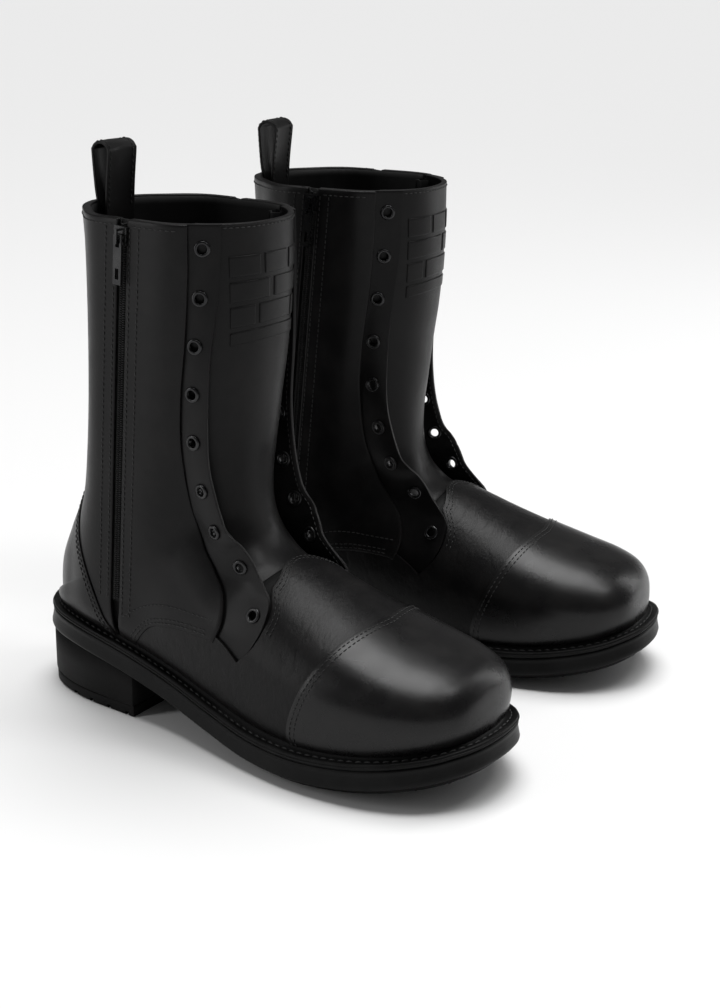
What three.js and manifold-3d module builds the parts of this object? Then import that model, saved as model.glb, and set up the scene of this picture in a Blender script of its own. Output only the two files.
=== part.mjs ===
// A pair of tall leather work boots: front-lacing facings without laces, a straight zip on each side of
// each shaft, capped toe, stitched welt and a lugged rubber sole with a stacked heel.
//
// One boot is described in its own frame: f runs forward from the ankle's plumb line to the toe, w runs
// outward to the little-toe side, z is up from the floor. Both boots are built from that description.
// The upper is a lofted surface: stations fan from the toe, round the ankle, up to the collar. Every
// leather piece is a patch of that surface, given a thickness between two depths.
import * as THREE from "three";
import { mergeVertices } from "three/addons/utils/BufferGeometryUtils.js";
import Module from "manifold-3d";

const wasm = await Module();
wasm.setup();

// ---------------------------------------------------------------- driving dimensions, mm
const UPPER_LENGTH = 299; // heel to toe, at the welt
const UPPER_WIDTH = 104; // across the ball of the foot, at the welt
const COLLAR_HEIGHT = 300; // floor to the top of the shaft
const LEATHER = 2; // outer leather
const GAP = 0.3; // between pieces that touch
const LINING = 1.2;
const INTERLAYER = 4; // between leather and lining: stiffeners and zip tapes lie here
const STIFFENER = 1.2;
const STIFFENER_GAP = 1.2; // stiffeners are pressed flatter than the leather over them
const TAPE = 2;
const WELT = 3.5;
const WELT_WIDTH = 9.5; // how far the welt and sole stand out past the upper
const OUTSOLE = 11; // rubber plate under the welt
const LUG = 5.5; // height of the tread blocks
const HEEL_FRONT = 67; // f of the heel's breast
const HEEL_LIFT = 7; // tread layer under the heel block
const EYELETS = 9;
const EYELET_HOLE_R = 2.6;
const EYELET_RIM_R = 4.9;
const ZIP_GAP = 6.8; // between the two leather edges
const COIL_WIDTH = 4.4;
const TAPE_WIDTH = 17;
const SLIDER_LENGTH = 10;
const PULL_LENGTH = 27;
const PULL_WIDTH = 5.6;
const LOOP_WIDTH = 24;
const LOOP_HEIGHT = 34; // above the collar
const EYELET_TUBE_R = 3.2;
const EDGE_TO_EYELET = 9; // facing's front edge to the eyelets' centres
const BACKING = 0.9; // reinforcing strip behind the facing
const BACKING_GAP = 1.8;
const RIM_LIFT = 1.9; // eyelet rims clear the curved leather by this much at their middles
const TONGUE = 2;
const TONGUE_DEPTH = 5; // the tongue's outer face lies this far under the facings' inner face
const STRAP = 1.5; // pull loop
const TREAD_FROM = 114;
const TREAD_GROOVES = [138, 172, 206, 240];
const HEEL_NOTCHES = [10, 30, 50];
const FRAME_Y = 142.97; // moves the pair's middle to the frame's origin
const TOE_OUT = 5; // degrees that each boot is turned out
const PAIR_SPACING = 146.5; // between the two boots' plumb lines
const PAIR_STAGGER = 16; // how far the left boot stands ahead

// ---------------------------------------------------------------- the boot's lofted surface
// The table is drawn for these sizes, and it is stretched to the driving ones.
const DRAWN = { length: 299, width: 104, collar: 280 };
const SEAT = LEATHER + 9 * GAP + WELT + OUTSOLE + LUG; // floor to the lowest point of the upper's edge
const stretchF = UPPER_LENGTH / DRAWN.length;
const stretchW = UPPER_WIDTH / DRAWN.width;
const stretchZ = (COLLAR_HEIGHT - SEAT) / DRAWN.collar;

// Each station is a slanting cut from the sole or heel (B) to the top of the foot or shin (T).
// [B f, B z, T f, T z, outer half-width, inner half-width, outer edge, inner edge, widest at, roundness]
const STATIONS = [
  [285, 15, 285, 15, 0, 0, 0, 0, 0.3, 2.1],
  [282.5, 14.3, 283.5, 27, 18.5, 18.5, 17, 17, 0.32, 2.1],
  [275, 12, 281, 36.5, 32, 31.5, 29.5, 29, 0.34, 2.15],
  [262, 9, 273.5, 43.5, 43, 42, 40.5, 40, 0.36, 2.2],
  [243, 5.2, 260, 48.5, 50.5, 48.5, 49, 47, 0.38, 2.25],
  [220, 1.9, 241, 53, 55, 52.5, 53.5, 50.5, 0.38, 2.3],
  [193, 0.2, 217, 60, 56.5, 53, 54.5, 50.5, 0.4, 2.25],
  [163, 1.2, 193, 69, 54.5, 50.5, 50.5, 45.5, 0.4, 2.15],
  [130, 6.5, 170, 78, 50.5, 47.5, 43.5, 37.5, 0.42, 2.15],
  [97, 13.5, 150, 85, 47.5, 45, 37, 32.5, 0.45, 2.2],
  [62, 22, 139, 94, 45, 43.5, 34.5, 33, 0.5, 2.3],
  [27, 28.5, 134.8, 103, 43.5, 42.5, 32, 32, 0.52, 2.3],
  [2, 30.5, 133.2, 111, 42.5, 42, 24, 24, 0.52, 2.3],
  [-11, 31, 132.6, 119, 42, 41.5, 11.5, 11.5, 0.52, 2.3],
  [-14, 31.3, 132.6, 128, 42, 41.5, 0, 0, 0.52, 2.3],
  [-12, 52, 133, 138, 42, 41.8, 0, 0, 0.52, 2.3],
  [-3, 74, 134, 150, 42.5, 42.3, 0, 0, 0.52, 2.3],
  [9, 100, 135, 164, 43.5, 43.3, 0, 0, 0.52, 2.3],
  [16, 129, 136.5, 182, 45, 44.8, 0, 0, 0.52, 2.3],
  [20, 163, 139, 204, 46.5, 46.5, 0, 0, 0.52, 2.3],
  [21, 201, 140.5, 229, 48, 48, 0, 0, 0.52, 2.3],
  [20, 241, 141, 255, 49.3, 49.3, 0, 0, 0.52, 2.35],
  [18, 280, 140.5, 280, 50.5, 50.5, 0, 0, 0.52, 2.4],
];
const TOP = STATIONS.length - 1;
const HEEL_STATION = 14; // from here up, the cuts close round the back of the leg

/** Value p1..p2 of a curve through four values. */
function throughPoints(p0, p1, p2, p3, t) {
  const a = 2 * p1;
  const b = p2 - p0;
  const c = 2 * p0 - 5 * p1 + 4 * p2 - p3;
  const d = -p0 + 3 * p1 - 3 * p2 + p3;
  return 0.5 * (a + t * (b + t * (c + t * d)));
}

/** The station at a whole or fractional place u along the fan. */
function station(u) {
  const k = Math.min(Math.max(Math.floor(u), 0), TOP - 1);
  const t = u - k;
  const row = (i) => STATIONS[Math.min(Math.max(i, 0), TOP)];
  const s = row(k).map((_, c) =>
    throughPoints(row(k - 1)[c], row(k)[c], row(k + 1)[c], row(k + 2)[c], t),
  );
  const closed = u >= HEEL_STATION;
  return {
    b: [s[0], s[1]],
    t: [s[2], s[3]],
    half: [Math.max(s[4], 0), Math.max(s[5], 0)],
    edge: closed ? [0, 0] : [Math.max(s[6], 0), Math.max(s[7], 0)],
    widest: s[8],
    round: s[9],
  };
}

/** A point of the loft before the zips flatten it: [f, w, z] as drawn. a runs 0 at the front to PI at the
 * sole or the back of the leg, and is negative on the inner side. */
function loftDrawn(u, a) {
  const s = station(u);
  const side = a < 0 ? 1 : 0;
  const half = s.half[side];
  const edge = s.edge[side];
  const angle = Math.min(Math.abs(a), Math.PI);
  const c = Math.cos(angle);
  let up;
  let out;
  if (c >= 0) {
    const p = 2 / s.round;
    up = s.widest + (1 - s.widest) * Math.pow(c, p);
    out = half * Math.pow(Math.max(Math.sin(angle), 0), p);
  } else {
    up = s.widest * (1 + c);
    out = edge + (half - edge) * Math.max(Math.sin(angle), 0);
    if (angle > Math.PI - 1e-9) out = edge;
  }
  return [
    s.b[0] + (s.t[0] - s.b[0]) * up,
    side ? -out : out,
    s.b[1] + (s.t[1] - s.b[1]) * up,
  ];
}

/** The place (u, a) on the loft of a point seen from the side, f and z as drawn. */
function fromSide([f, z], inner = false) {
  const miss = (u) => {
    const { b, t } = station(u);
    return (t[0] - b[0]) * (z - b[1]) - (t[1] - b[1]) * (f - b[0]);
  };
  let low = 0.02;
  let high = TOP;
  for (let u = low; u < TOP - 1e-9; u += 0.1) {
    const next = Math.min(u + 0.1, TOP);
    if (miss(u) < 0 !== miss(next) < 0) {
      low = u;
      high = next;
    }
  }
  if (high - low < 0.2) {
    for (let i = 0; i < 40; i++) {
      const mid = (low + high) / 2;
      if (miss(mid) < 0 === miss(low) < 0) low = mid;
      else high = mid;
    }
  } else low = TOP;
  const u = low;
  const s = station(u);
  const along = [s.t[0] - s.b[0], s.t[1] - s.b[1]];
  const up = ((f - s.b[0]) * along[0] + (z - s.b[1]) * along[1]) / (along[0] ** 2 + along[1] ** 2);
  let angle;
  if (up >= s.widest) {
    const c = Math.min((up - s.widest) / (1 - s.widest), 1);
    angle = Math.acos(Math.pow(c, s.round / 2));
  } else angle = Math.acos(Math.max(up / s.widest - 1, -1));
  return [u, inner ? -angle : angle];
}

// Each zip is straight, so the leather beside it is flat. Seen from the side, its line as drawn:
const ZIP_TOP = [77, 280];
const ZIP_BOTTOM = [55, 46];
const ZIP_FLAT = 11; // flat this far each side of the line
const ZIP_FADE = 32; // and back to the loft's own curve by here
const zipWidthAt = (end, inner) => loftDrawn(...fromSide(end, inner))[1];

/** The plane of a zip: how far out it is at a height, as drawn. */
function zipPlane(z, inner) {
  const low = zipWidthAt(ZIP_BOTTOM, inner);
  const high = zipWidthAt([ZIP_TOP[0], ZIP_TOP[1] - 1], inner);
  return low + ((high - low) * (z - ZIP_BOTTOM[1])) / (ZIP_TOP[1] - ZIP_BOTTOM[1]);
}
const zipPlanes = [false, true].map((inner) =>
  [zipPlane(0, inner), zipPlane(1, inner) - zipPlane(0, inner)]);

const fade = (x) => {
  const t = Math.min(Math.max(x, 0), 1);
  return t * t * (3 - 2 * t);
};

/** A point of the upper's surface, in the boot's own frame. */
function loft(u, a) {
  const [f, w, z] = loftDrawn(u, a);
  const inner = a < 0;
  const lean = (ZIP_TOP[0] - ZIP_BOTTOM[0]) / (ZIP_TOP[1] - ZIP_BOTTOM[1]);
  const away = Math.abs(f - ZIP_BOTTOM[0] - lean * (z - ZIP_BOTTOM[1]));
  const near = (1 - fade((away - ZIP_FLAT) / ZIP_FADE)) * fade((z - 24) / 18);
  const [base, slope] = zipPlanes[inner ? 1 : 0];
  const flat = w + (base + slope * z - w) * near;
  return new THREE.Vector3(f * stretchF, flat * stretchW, z * stretchZ + SEAT);
}

/** The outward direction of the upper's surface. */
function loftNormal(u, a) {
  if (u < 1e-6) return new THREE.Vector3(1, 0, 0);
  const h = 0.02;
  const du = loft(Math.min(u + h, TOP), a).sub(loft(Math.max(u - h, 0.001), a));
  const low = a > 0 || a === 0 ? a - h : Math.max(a - h, -Math.PI);
  const high = a < 0 || a === 0 ? a + h : Math.min(a + h, Math.PI);
  const from = a > 0 && low < 0 ? 0 : low;
  const to = a < 0 && high > 0 ? 0 : high;
  const da = loft(u, to).sub(loft(u, from));
  const n = du.cross(da).normalize().negate();
  if (u >= HEEL_STATION && Math.abs(a) > Math.PI - 1e-6) n.y = 0;
  return n.normalize();
}

// ---------------------------------------------------------------- solids from sheets of points
/** A mesh geometry from triangles of points, with shared corners merged and slivers dropped. */
function geometryOf(triangles) {
  const flat = new Float32Array(triangles.length * 9);
  triangles.forEach((t, i) => t.forEach((p, j) => flat.set([p.x, p.y, p.z], i * 9 + j * 3)));
  const loose = new THREE.BufferGeometry().setAttribute("position", new THREE.BufferAttribute(flat, 3));
  const merged = mergeVertices(loose, 2e-3);
  const index = merged.index.array;
  const kept = [];
  for (let i = 0; i < index.length; i += 3) {
    const [p, q, r] = [index[i], index[i + 1], index[i + 2]];
    if (p !== q && q !== r && r !== p) kept.push(p, q, r);
  }
  merged.setIndex(kept);
  return merged;
}

/** A closed solid between two sheets of points that have the same rows and columns; wrap joins the last row
 * to the first. */
function between(outer, inner, wrap = false) {
  const rows = outer.length;
  const columns = outer[0].length;
  const t = [];
  const quad = (a, b, c, d) => t.push([a, b, c], [a, c, d]);
  const last = wrap ? rows : rows - 1;
  for (let i = 0; i < last; i++) {
    const n = (i + 1) % rows;
    for (let j = 0; j + 1 < columns; j++) {
      quad(outer[i][j], outer[i][j + 1], outer[n][j + 1], outer[n][j]);
      quad(inner[i][j], inner[n][j], inner[n][j + 1], inner[i][j + 1]);
    }
    quad(outer[i][0], outer[n][0], inner[n][0], inner[i][0]);
    quad(outer[n][columns - 1], outer[i][columns - 1], inner[i][columns - 1], inner[n][columns - 1]);
  }
  for (let j = 0; j + 1 < columns && !wrap; j++) {
    quad(outer[0][j + 1], outer[0][j], inner[0][j], inner[0][j + 1]);
    quad(outer[rows - 1][j], outer[rows - 1][j + 1], inner[rows - 1][j + 1], inner[rows - 1][j]);
  }
  return geometryOf(t);
}

/** Which way round a grid of places is laid out: above or below zero. */
function turn(grid) {
  let sum = 0;
  for (let i = 0; i + 1 < grid.length; i++)
    for (let j = 0; j + 1 < grid[i].length; j++) {
      const [p, q, r, s] = [grid[i][j], grid[i][j + 1], grid[i + 1][j + 1], grid[i + 1][j]];
      sum += (r[0] - p[0]) * (s[1] - q[1]) - (r[1] - p[1]) * (s[0] - q[0]);
    }
  return sum;
}

/** A closed shell over one or more grids of places on the loft, which join where their edges meet. Its
 * faces lie at two depths, each a number or a function of the place. */
function shell(grids, inside, outside) {
  const corners = new Map();
  const ids = [];
  const faces = [];
  const idOf = (p) => {
    const v = loft(p[0], p[1]);
    const key = [v.x, v.y, v.z].map((n) => Math.round(n * 40)).join();
    if (!corners.has(key)) {
      corners.set(key, ids.length);
      ids.push(p);
    }
    return corners.get(key);
  };
  for (const grid of grids)
    for (let i = 0; i + 1 < grid.length; i++)
      for (let j = 0; j + 1 < grid[i].length; j++) {
        const q = [grid[i][j], grid[i][j + 1], grid[i + 1][j + 1], grid[i + 1][j]].map(idOf);
        if (turn(grid) < 0) q.reverse();
        for (const f of [[q[0], q[1], q[2]], [q[0], q[2], q[3]]])
          if (f[0] !== f[1] && f[1] !== f[2] && f[2] !== f[0]) faces.push(f);
      }
  const value = (d, p) => (typeof d === "function" ? d(...p) : d);
  const lift = (d) => ids.map((p) => loft(...p).addScaledVector(loftNormal(...p), value(d, p)));
  const [low, high] = [lift(inside), lift(outside)];
  const edges = new Map();
  const t = [];
  for (const f of faces) {
    t.push(f.map((i) => high[i]), [low[f[0]], low[f[2]], low[f[1]]]);
    for (let k = 0; k < 3; k++) edges.set(f[k] + "," + f[(k + 1) % 3], [f[k], f[(k + 1) % 3]]);
  }
  for (const [p, q] of edges.values())
    if (!edges.has(q + "," + p)) t.push([high[q], high[p], low[p]], [high[q], low[p], low[q]]);
  return geometryOf(t);
}

/** The solid with its faces turned to point out, as manifold-3d sees it. */
function solidOf(geometry) {
  const index = Uint32Array.from(geometry.index.array);
  const make = () =>
    new wasm.Manifold(
      new wasm.Mesh({ numProp: 3, vertProperties: geometry.attributes.position.array, triVerts: index }),
    );
  const first = make();
  if (first.volume() > 0) return first;
  for (let i = 0; i < index.length; i += 3) [index[i + 1], index[i + 2]] = [index[i + 2], index[i + 1]];
  return make();
}

/** A three.js geometry from a manifold-3d solid. */
function backToGeometry(solid) {
  const mesh = solid.getMesh();
  const n = mesh.numProp;
  const points = new Float32Array(mesh.numVert * 3);
  for (let i = 0; i < mesh.numVert; i++) points.set(mesh.vertProperties.subarray(i * n, i * n + 3), i * 3);
  return new THREE.BufferGeometry()
    .setAttribute("position", new THREE.BufferAttribute(points, 3))
    .setIndex(new THREE.BufferAttribute(mesh.triVerts, 1));
}

const cleaned = (geometry) => {
  const bare = geometry.clone().deleteAttribute("normal").deleteAttribute("uv");
  return mergeVertices(bare, 1e-4);
};
const steps = (n) => Array.from({ length: n + 1 }, (_, i) => i / n);
const mix = (a, b, t) => a + (b - a) * t;

/** A smooth curve through side-view or space points; gives its point at t from 0 to 1. */
function curveThrough(points) {
  const curve = new THREE.CatmullRomCurve3(
    points.map((p) => new THREE.Vector3(p[0], p[1], p[2] ?? 0)),
    false,
    "centripetal",
  );
  curve.arcLengthDivisions = 120;
  return (t) => curve.getPointAt(Math.min(Math.max(t, 0), 1));
}

/** A four-sided patch filled in from its edges, each a function of 0..1 that gives [x, y]. */
function coons(top, bottom, left, right) {
  return (s, t) => {
    const value = (k) =>
      mix(top(s)[k], bottom(s)[k], t) +
      mix(left(t)[k], right(t)[k], s) -
      mix(mix(top(0)[k], top(1)[k], s), mix(bottom(0)[k], bottom(1)[k], s), t);
    return [value(0), value(1)];
  };
}

// ---------------------------------------------------------------- seams, seen from the side and as drawn
const ZIP_LEAN = (ZIP_TOP[0] - ZIP_BOTTOM[0]) / (ZIP_TOP[1] - ZIP_BOTTOM[1]);
const zipAt = (z, off) => [ZIP_BOTTOM[0] + ZIP_LEAN * (z - ZIP_BOTTOM[1]) + off / stretchF, z];
const THROAT = 8.85; // station where the tongue leaves the vamp
const ARCH = [[152, 36], [143, 40.5], [136, 43], [130, 44], [117, 44.5], [100, 43.5], [82, 38], [66, 22]];
const ARCH_BEND = 3; // the bend of the facing meets the arch here
const COUNTER_SEAM = [[52, 25], [45, 37], [37, 56], [27, 80], [17, 108], [12.5, 121]];
const BEND_LINE = [
  [112, 280], [111, 250], [108, 215], [103.5, 180], [101.5, 150], [103.5, 118], [112, 94], [122, 80],
  [131, 68],
  [134, 56], [130, 44],
];
// Front edge of a facing: a place on the loft, and how far the leather stands off it there.
const FRONT_EDGE = [
  [129.5, 280, 0], [128, 246, 1.5], [122, 200, 5], [118.5, 165, 8], [117.5, 138, 13], [121.5, 110, 18],
  [128, 95, 20], [138, 84.5, 17], [148.5, 77, 12], [157, 72, 8], [163.5, 67, 5], [164.1, 57, 2.5],
  [158.8, 46, 1], [151.3, 37, 0],
];
const VAMP_BACK = [[158, 75], [165.5, 65], [165.4, 55], [161, 45.5], [152, 36]];

/** The toe cap's back edge: its station at an angle. */
const toeSeam = (a) => 6.02 + 0.27 * Math.sin(Math.abs(a));
const snapped = ([u, a]) => {
  if (Math.abs(a) > Math.PI - 4e-3) return [u, Math.sign(a) * Math.PI];
  return Math.abs(a) < 4e-3 ? [u, 0] : [u, a];
};
const sideGrid = (patch, rows, columns, inner) =>
  steps(rows).map((s) => steps(columns).map((t) => snapped(fromSide(patch(s, t), inner))));
const flat = (points) => {
  const curve = curveThrough(points);
  return (t) => [curve(t).x, curve(t).y];
};
/** A path of straight lines through points; gives its point at t from 0 to 1 of its length. */
const straight = (points) => {
  const lengths = points.slice(1).map((p, i) => Math.hypot(p[0] - points[i][0], p[1] - points[i][1]));
  const total = lengths.reduce((a, b) => a + b);
  return (t) => {
    let left = t * total;
    let i = 0;
    while (i < lengths.length - 1 && left > lengths[i]) left -= lengths[i++];
    return [0, 1].map((k) => mix(points[i][k], points[i + 1][k], left / lengths[i]));
  };
};
const line = (p, q) => (t) => [mix(p[0], q[0], t), mix(p[1], q[1], t)];
const bothSides = (make) => [make(false), make(true)];

/** Where the heel counter's seam crosses station u, as an angle. */
const counterSeam = (() => {
  const curve = flat(COUNTER_SEAM);
  const places = steps(60).map((t) => fromSide(curve(t)));
  places[0][1] = Math.PI;
  places[60][1] = Math.PI;
  const at = (u) => {
    const k = places.findIndex((p) => p[0] >= u);
    if (k <= 0) return Math.PI;
    const [p, q] = [places[k - 1], places[k]];
    return mix(p[1], q[1], (u - p[0]) / Math.max(q[0] - p[0], 1e-6));
  };
  return { from: places[0][0], to: places[60][0], at };
})();
const FEATHER = (f) => {
  let u = 0;
  while (u < HEEL_STATION && station(u).b[0] > f) u += 0.01;
  return u;
};
const tip = fromSide(ARCH[0]);
const edgeGap = (curve, dx, dz) => (t) => [curve(t)[0] + dx, curve(t)[1] + dz];

// ---------------------------------------------------------------- leather of the foot
const sideways = (a, inner) => (inner ? -a : a);

function toeCap() {
  return shell(
    [steps(8).map((s) => steps(16).map((t) => {
      const a = mix(-Math.PI, Math.PI, t);
      return snapped([s * toeSeam(a), a]);
    }))],
    0, LEATHER,
  );
}

function vamp() {
  const seam = 0.045; // gap behind the toe cap's seam, in stations
  const splitAngle = tip[1] + 0.1;
  const grids = bothSides((inner) => {
    const back = flat(VAMP_BACK);
    const throat = steps(5).map((t) => {
      if (t === 0) return [THROAT, 0];
      return fromSide(back(Math.max((t - 0.28) / 0.72, 0)));
    });
    throat[1] = [THROAT - 0.01, throat[2][1] * 0.5];
    const upper = steps(5).map((s) => steps(5).map((t, j) => {
      const a = t * splitAngle;
      return snapped([mix(toeSeam(a) + seam, throat[j][0], s), sideways(mix(a, throat[j][1], s), inner)]);
    }));
    const lower = steps(5).map((s) => steps(3).map((t) => {
      const a = mix(splitAngle, Math.PI, t);
      const b = mix(tip[1], Math.PI, t);
      return snapped([mix(toeSeam(a) + seam, tip[0], s), sideways(mix(a, b, s), inner)]);
    }));
    const arch = flat(ARCH);
    const foot = FEATHER(ARCH[ARCH.length - 1][0]);
    const wing = steps(9).map((s) => steps(3).map((t) => {
      const p = s === 1 ? [foot, Math.PI] : fromSide([arch(s)[0], arch(s)[1] - 2]);
      const top = s === 0 ? tip : p;
      return snapped([mix(top[0], mix(tip[0], foot, s), t), sideways(mix(top[1], Math.PI, t), inner)]);
    }));
    return [upper, lower, wing];
  });
  return shell(grids.flat(), 0, LEATHER);
}

function heelCounter() {
  const rows = bothSides((inner) =>
    steps(10).map((s) => {
      const u = mix(counterSeam.from + 0.02, counterSeam.to - 0.03, s);
      const a = Math.min(counterSeam.at(u) + (s === 0 || s === 1 ? 0 : 0.012), Math.PI);
      return steps(5).map((t) => snapped([u, sideways(mix(a, Math.PI, t), inner)]));
    }),
  );
  return shell(rows, 0, LEATHER);
}

function counterStiffener() {
  const rows = bothSides((inner) =>
    steps(8).map((s) => {
      const u = mix(counterSeam.from + 0.6, counterSeam.to - 0.6, s);
      const a = Math.min(counterSeam.at(u) + 0.14, Math.PI - 0.08);
      return steps(3).map((t) => snapped([u, sideways(mix(a, Math.PI, t), inner)]));
    }),
  );
  return shell(rows, -STIFFENER_GAP - STIFFENER, -STIFFENER_GAP);
}

function toeStiffener() {
  return shell(
    [steps(5).map((s) => steps(12).map((t) => {
      const a = mix(-Math.PI, Math.PI, t);
      return snapped([mix(0.45, toeSeam(a) - 0.25, s), a]);
    }))],
    -STIFFENER_GAP - STIFFENER, -STIFFENER_GAP,
  );
}

// ---------------------------------------------------------------- leather of the shaft
function quarter(inner) {
  const back = straight([zipAt(280, ZIP_GAP / 2), zipAt(46, ZIP_GAP / 2), [54.5, 22.6]]);
  const front = edgeGap(flat(BEND_LINE), -0.9, 0);
  const archBack = flat([[54.5, 22.6], [66, 22.4], ...ARCH.slice(ARCH_BEND, -1).reverse()]);
  const top = line([zipAt(280, ZIP_GAP / 2)[0], 280], [front(0)[0], 280]);
  const base = (t) => (t === 1 ? front(1) : archBack(t));
  return shell([sideGrid(coons(top, base, back, front), 5, 11, inner)], 0, LEATHER);
}

function backPanel() {
  const grids = bothSides((inner) => {
    const front = straight([zipAt(280, -ZIP_GAP / 2), zipAt(46, -ZIP_GAP / 2), [52.2, 28]]);
    const backU = (t) => mix(TOP, counterSeam.to + 0.02, t);
    const back = (t) => station(backU(t)).b;
    const top = line([zipAt(280, -ZIP_GAP / 2)[0], 280], station(TOP).b);
    const seam = flat([[52.2, 28], ...COUNTER_SEAM.slice(1, -1), station(backU(1)).b]);
    const patch = coons(top, seam, front, back);
    return steps(6).map((s) => steps(9).map((t) => {
      const [u, a] = fromSide(patch(s, t), inner);
      if (s === 1) return [backU(t), sideways(Math.PI, inner)];
      if (t === 0) return snapped([TOP, a]);
      return snapped([u, a]);
    }));
  });
  return shell(grids, 0, LEATHER);
}

const bendCurve = flat(BEND_LINE);
const frontCurve = curveThrough(FRONT_EDGE);
const archFront = flat(ARCH.slice(0, ARCH_BEND + 1).reverse());

/** A place on a facing: s down from the collar to the foot, t forward from the bend. */
function facingPlace(s, t, inner) {
  const end = frontCurve(s);
  const from = bendCurve(s);
  const low = archFront(t);
  const base = [mix(from[0], end.x, t), mix(from[1], end.y, t)];
  const flatBase = [mix(bendCurve(1)[0], frontCurve(1).x, t), mix(bendCurve(1)[1], frontCurve(1).y, t)];
  const near = fade((s - 0.8) / 0.2);
  const p = [base[0] + near * (low[0] - flatBase[0]), base[1] + near * (low[1] - flatBase[1])];
  return { place: fromSide(p, inner), height: end.z * t * Math.sqrt(t) };
}

/** A point of a facing, at a depth from its inner face. */
function facingPoint(s, t, inner, depth) {
  const at = (x, y) => {
    const held = [x, y].map((v) => Math.min(Math.max(v, 0), 1));
    const { place: p, height } = facingPlace(...held, inner);
    return loft(...p).addScaledVector(loftNormal(...p), height);
  };
  const h = 0.01;
  const ds = at(s + h, t).sub(at(s - h, t));
  const dt = at(s, t + h).sub(at(s, t - h));
  const normal = ds.cross(dt).normalize().multiplyScalar(inner ? -1 : 1);
  return { point: at(s, t).addScaledVector(normal, depth), normal };
}

const facingSheet = (inner, depth, s0, s1, t0, t1, rows, columns) =>
  steps(rows).map((s) => steps(columns).map((t) =>
    facingPoint(mix(s0, s1, s), mix(t0(mix(s0, s1, s)), t1(mix(s0, s1, s)), t), inner, depth).point));

/** How much of a facing's width lies between its front edge and a line off mm behind it. */
const behindEdge = (s, off) => {
  const width = facingPoint(s, 0, false, 0).point.distanceTo(facingPoint(s, 1, false, 0).point);
  return 1 - off / width;
};
const eyeletSpots = steps(EYELETS - 1).map((k) => mix(0.051, 0.898, k));
const FACING_ROWS = 13;
const BACKING_ROWS = 12;

/** A cylinder along a facing's normal, between two depths. */
function postAt(inner, s, radius, low, high, sides) {
  const { point, normal } = facingPoint(s, behindEdge(s, EDGE_TO_EYELET), inner, (low + high) / 2);
  const g = new THREE.CylinderGeometry(radius, radius, high - low, sides);
  g.applyQuaternion(new THREE.Quaternion().setFromUnitVectors(new THREE.Vector3(0, 1, 0), normal));
  return solidOf(cleaned(g.translate(point.x, point.y, point.z)));
}

function facing(inner) {
  const full = [() => 0, () => 1];
  const sheet = (depth) => facingSheet(inner, depth, 0, 1, ...full, FACING_ROWS, 3);
  let solid = solidOf(between(sheet(LEATHER), sheet(0)));
  for (const s of eyeletSpots)
    solid = solid.subtract(postAt(inner, s, EYELET_TUBE_R + GAP, -3, LEATHER + 3, 6));
  return backToGeometry(solid);
}

function eyeletRow(inner) {
  const near = (s) => behindEdge(s, EDGE_TO_EYELET + 5);
  const far = (s) => behindEdge(s, EDGE_TO_EYELET - 5);
  const end = BACKING_ROWS / FACING_ROWS;
  const sheet = (depth) => facingSheet(inner, depth, 0, end, near, far, BACKING_ROWS, 1);
  let solid = solidOf(between(sheet(-BACKING_GAP), sheet(-BACKING_GAP - BACKING)));
  for (const s of eyeletSpots)
    solid = solid
      .add(postAt(inner, s, EYELET_TUBE_R, -BACKING_GAP - BACKING - 0.2, LEATHER + RIM_LIFT + 0.4, 6))
      .add(postAt(inner, s, EYELET_RIM_R, LEATHER + RIM_LIFT, LEATHER + RIM_LIFT + 0.8, 6));
  for (const s of eyeletSpots) solid = solid.subtract(postAt(inner, s, EYELET_HOLE_R, -5, LEATHER + 5, 6));
  return backToGeometry(solid);
}

/** How far round the facing's bend lies at station u. */
const bendAngle = (() => {
  const places = steps(40).map((t) => fromSide(flat(BEND_LINE)(t))).reverse();
  return (u) => {
    const k = places.findIndex((p) => p[0] >= u);
    if (k < 0) return places[40][1];
    if (k === 0) return places[0][1];
    const [p, q] = [places[k - 1], places[k]];
    return mix(p[1], q[1], (u - p[0]) / Math.max(q[0] - p[0], 1e-6));
  };
})();
const TONGUE_FOOT = THROAT - 0.18;
const tongueReach = (u) => mix(0.75, bendAngle(u) - 0.1, fade((u - TONGUE_FOOT) / 2));

function tongue() {
  const rows = steps(12).map((k) => {
    const u = mix(TOP - 0.02, TONGUE_FOOT, k);
    const a = tongueReach(u);
    return steps(8).map((t) => [u, mix(-a, a, t)]);
  });
  return shell([rows], -TONGUE_DEPTH - TONGUE, -TONGUE_DEPTH);
}

function lining() {
  const foot = [0.8, 1.8, 2.9, 4.2, 5.6, 7, TONGUE_FOOT - 0.25]; // the lining closes over these
  const shaft = [9.3, 10.2, 10.9, 11.6, 12.3, 12.9, 13.5, 14, 14.8, 16, 17.3, 19, 20.5, TOP - 0.02];
  const open = (u) => mix(1, bendAngle(Math.max(u, 10)) - 0.02, fade((u - TONGUE_FOOT) / 2));
  const sides = bothSides((inner) =>
    [...foot, ...shaft].map((u) => steps(6).map((t) => [u, sideways(mix(open(u), Math.PI, t), inner)])));
  const over = foot.map((u) => steps(5).map((t) => [u, mix(-open(u), open(u), t)]));
  const depth = GAP * 2 + INTERLAYER;
  return shell([...sides, over], -depth - LINING, -depth);
}

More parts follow.
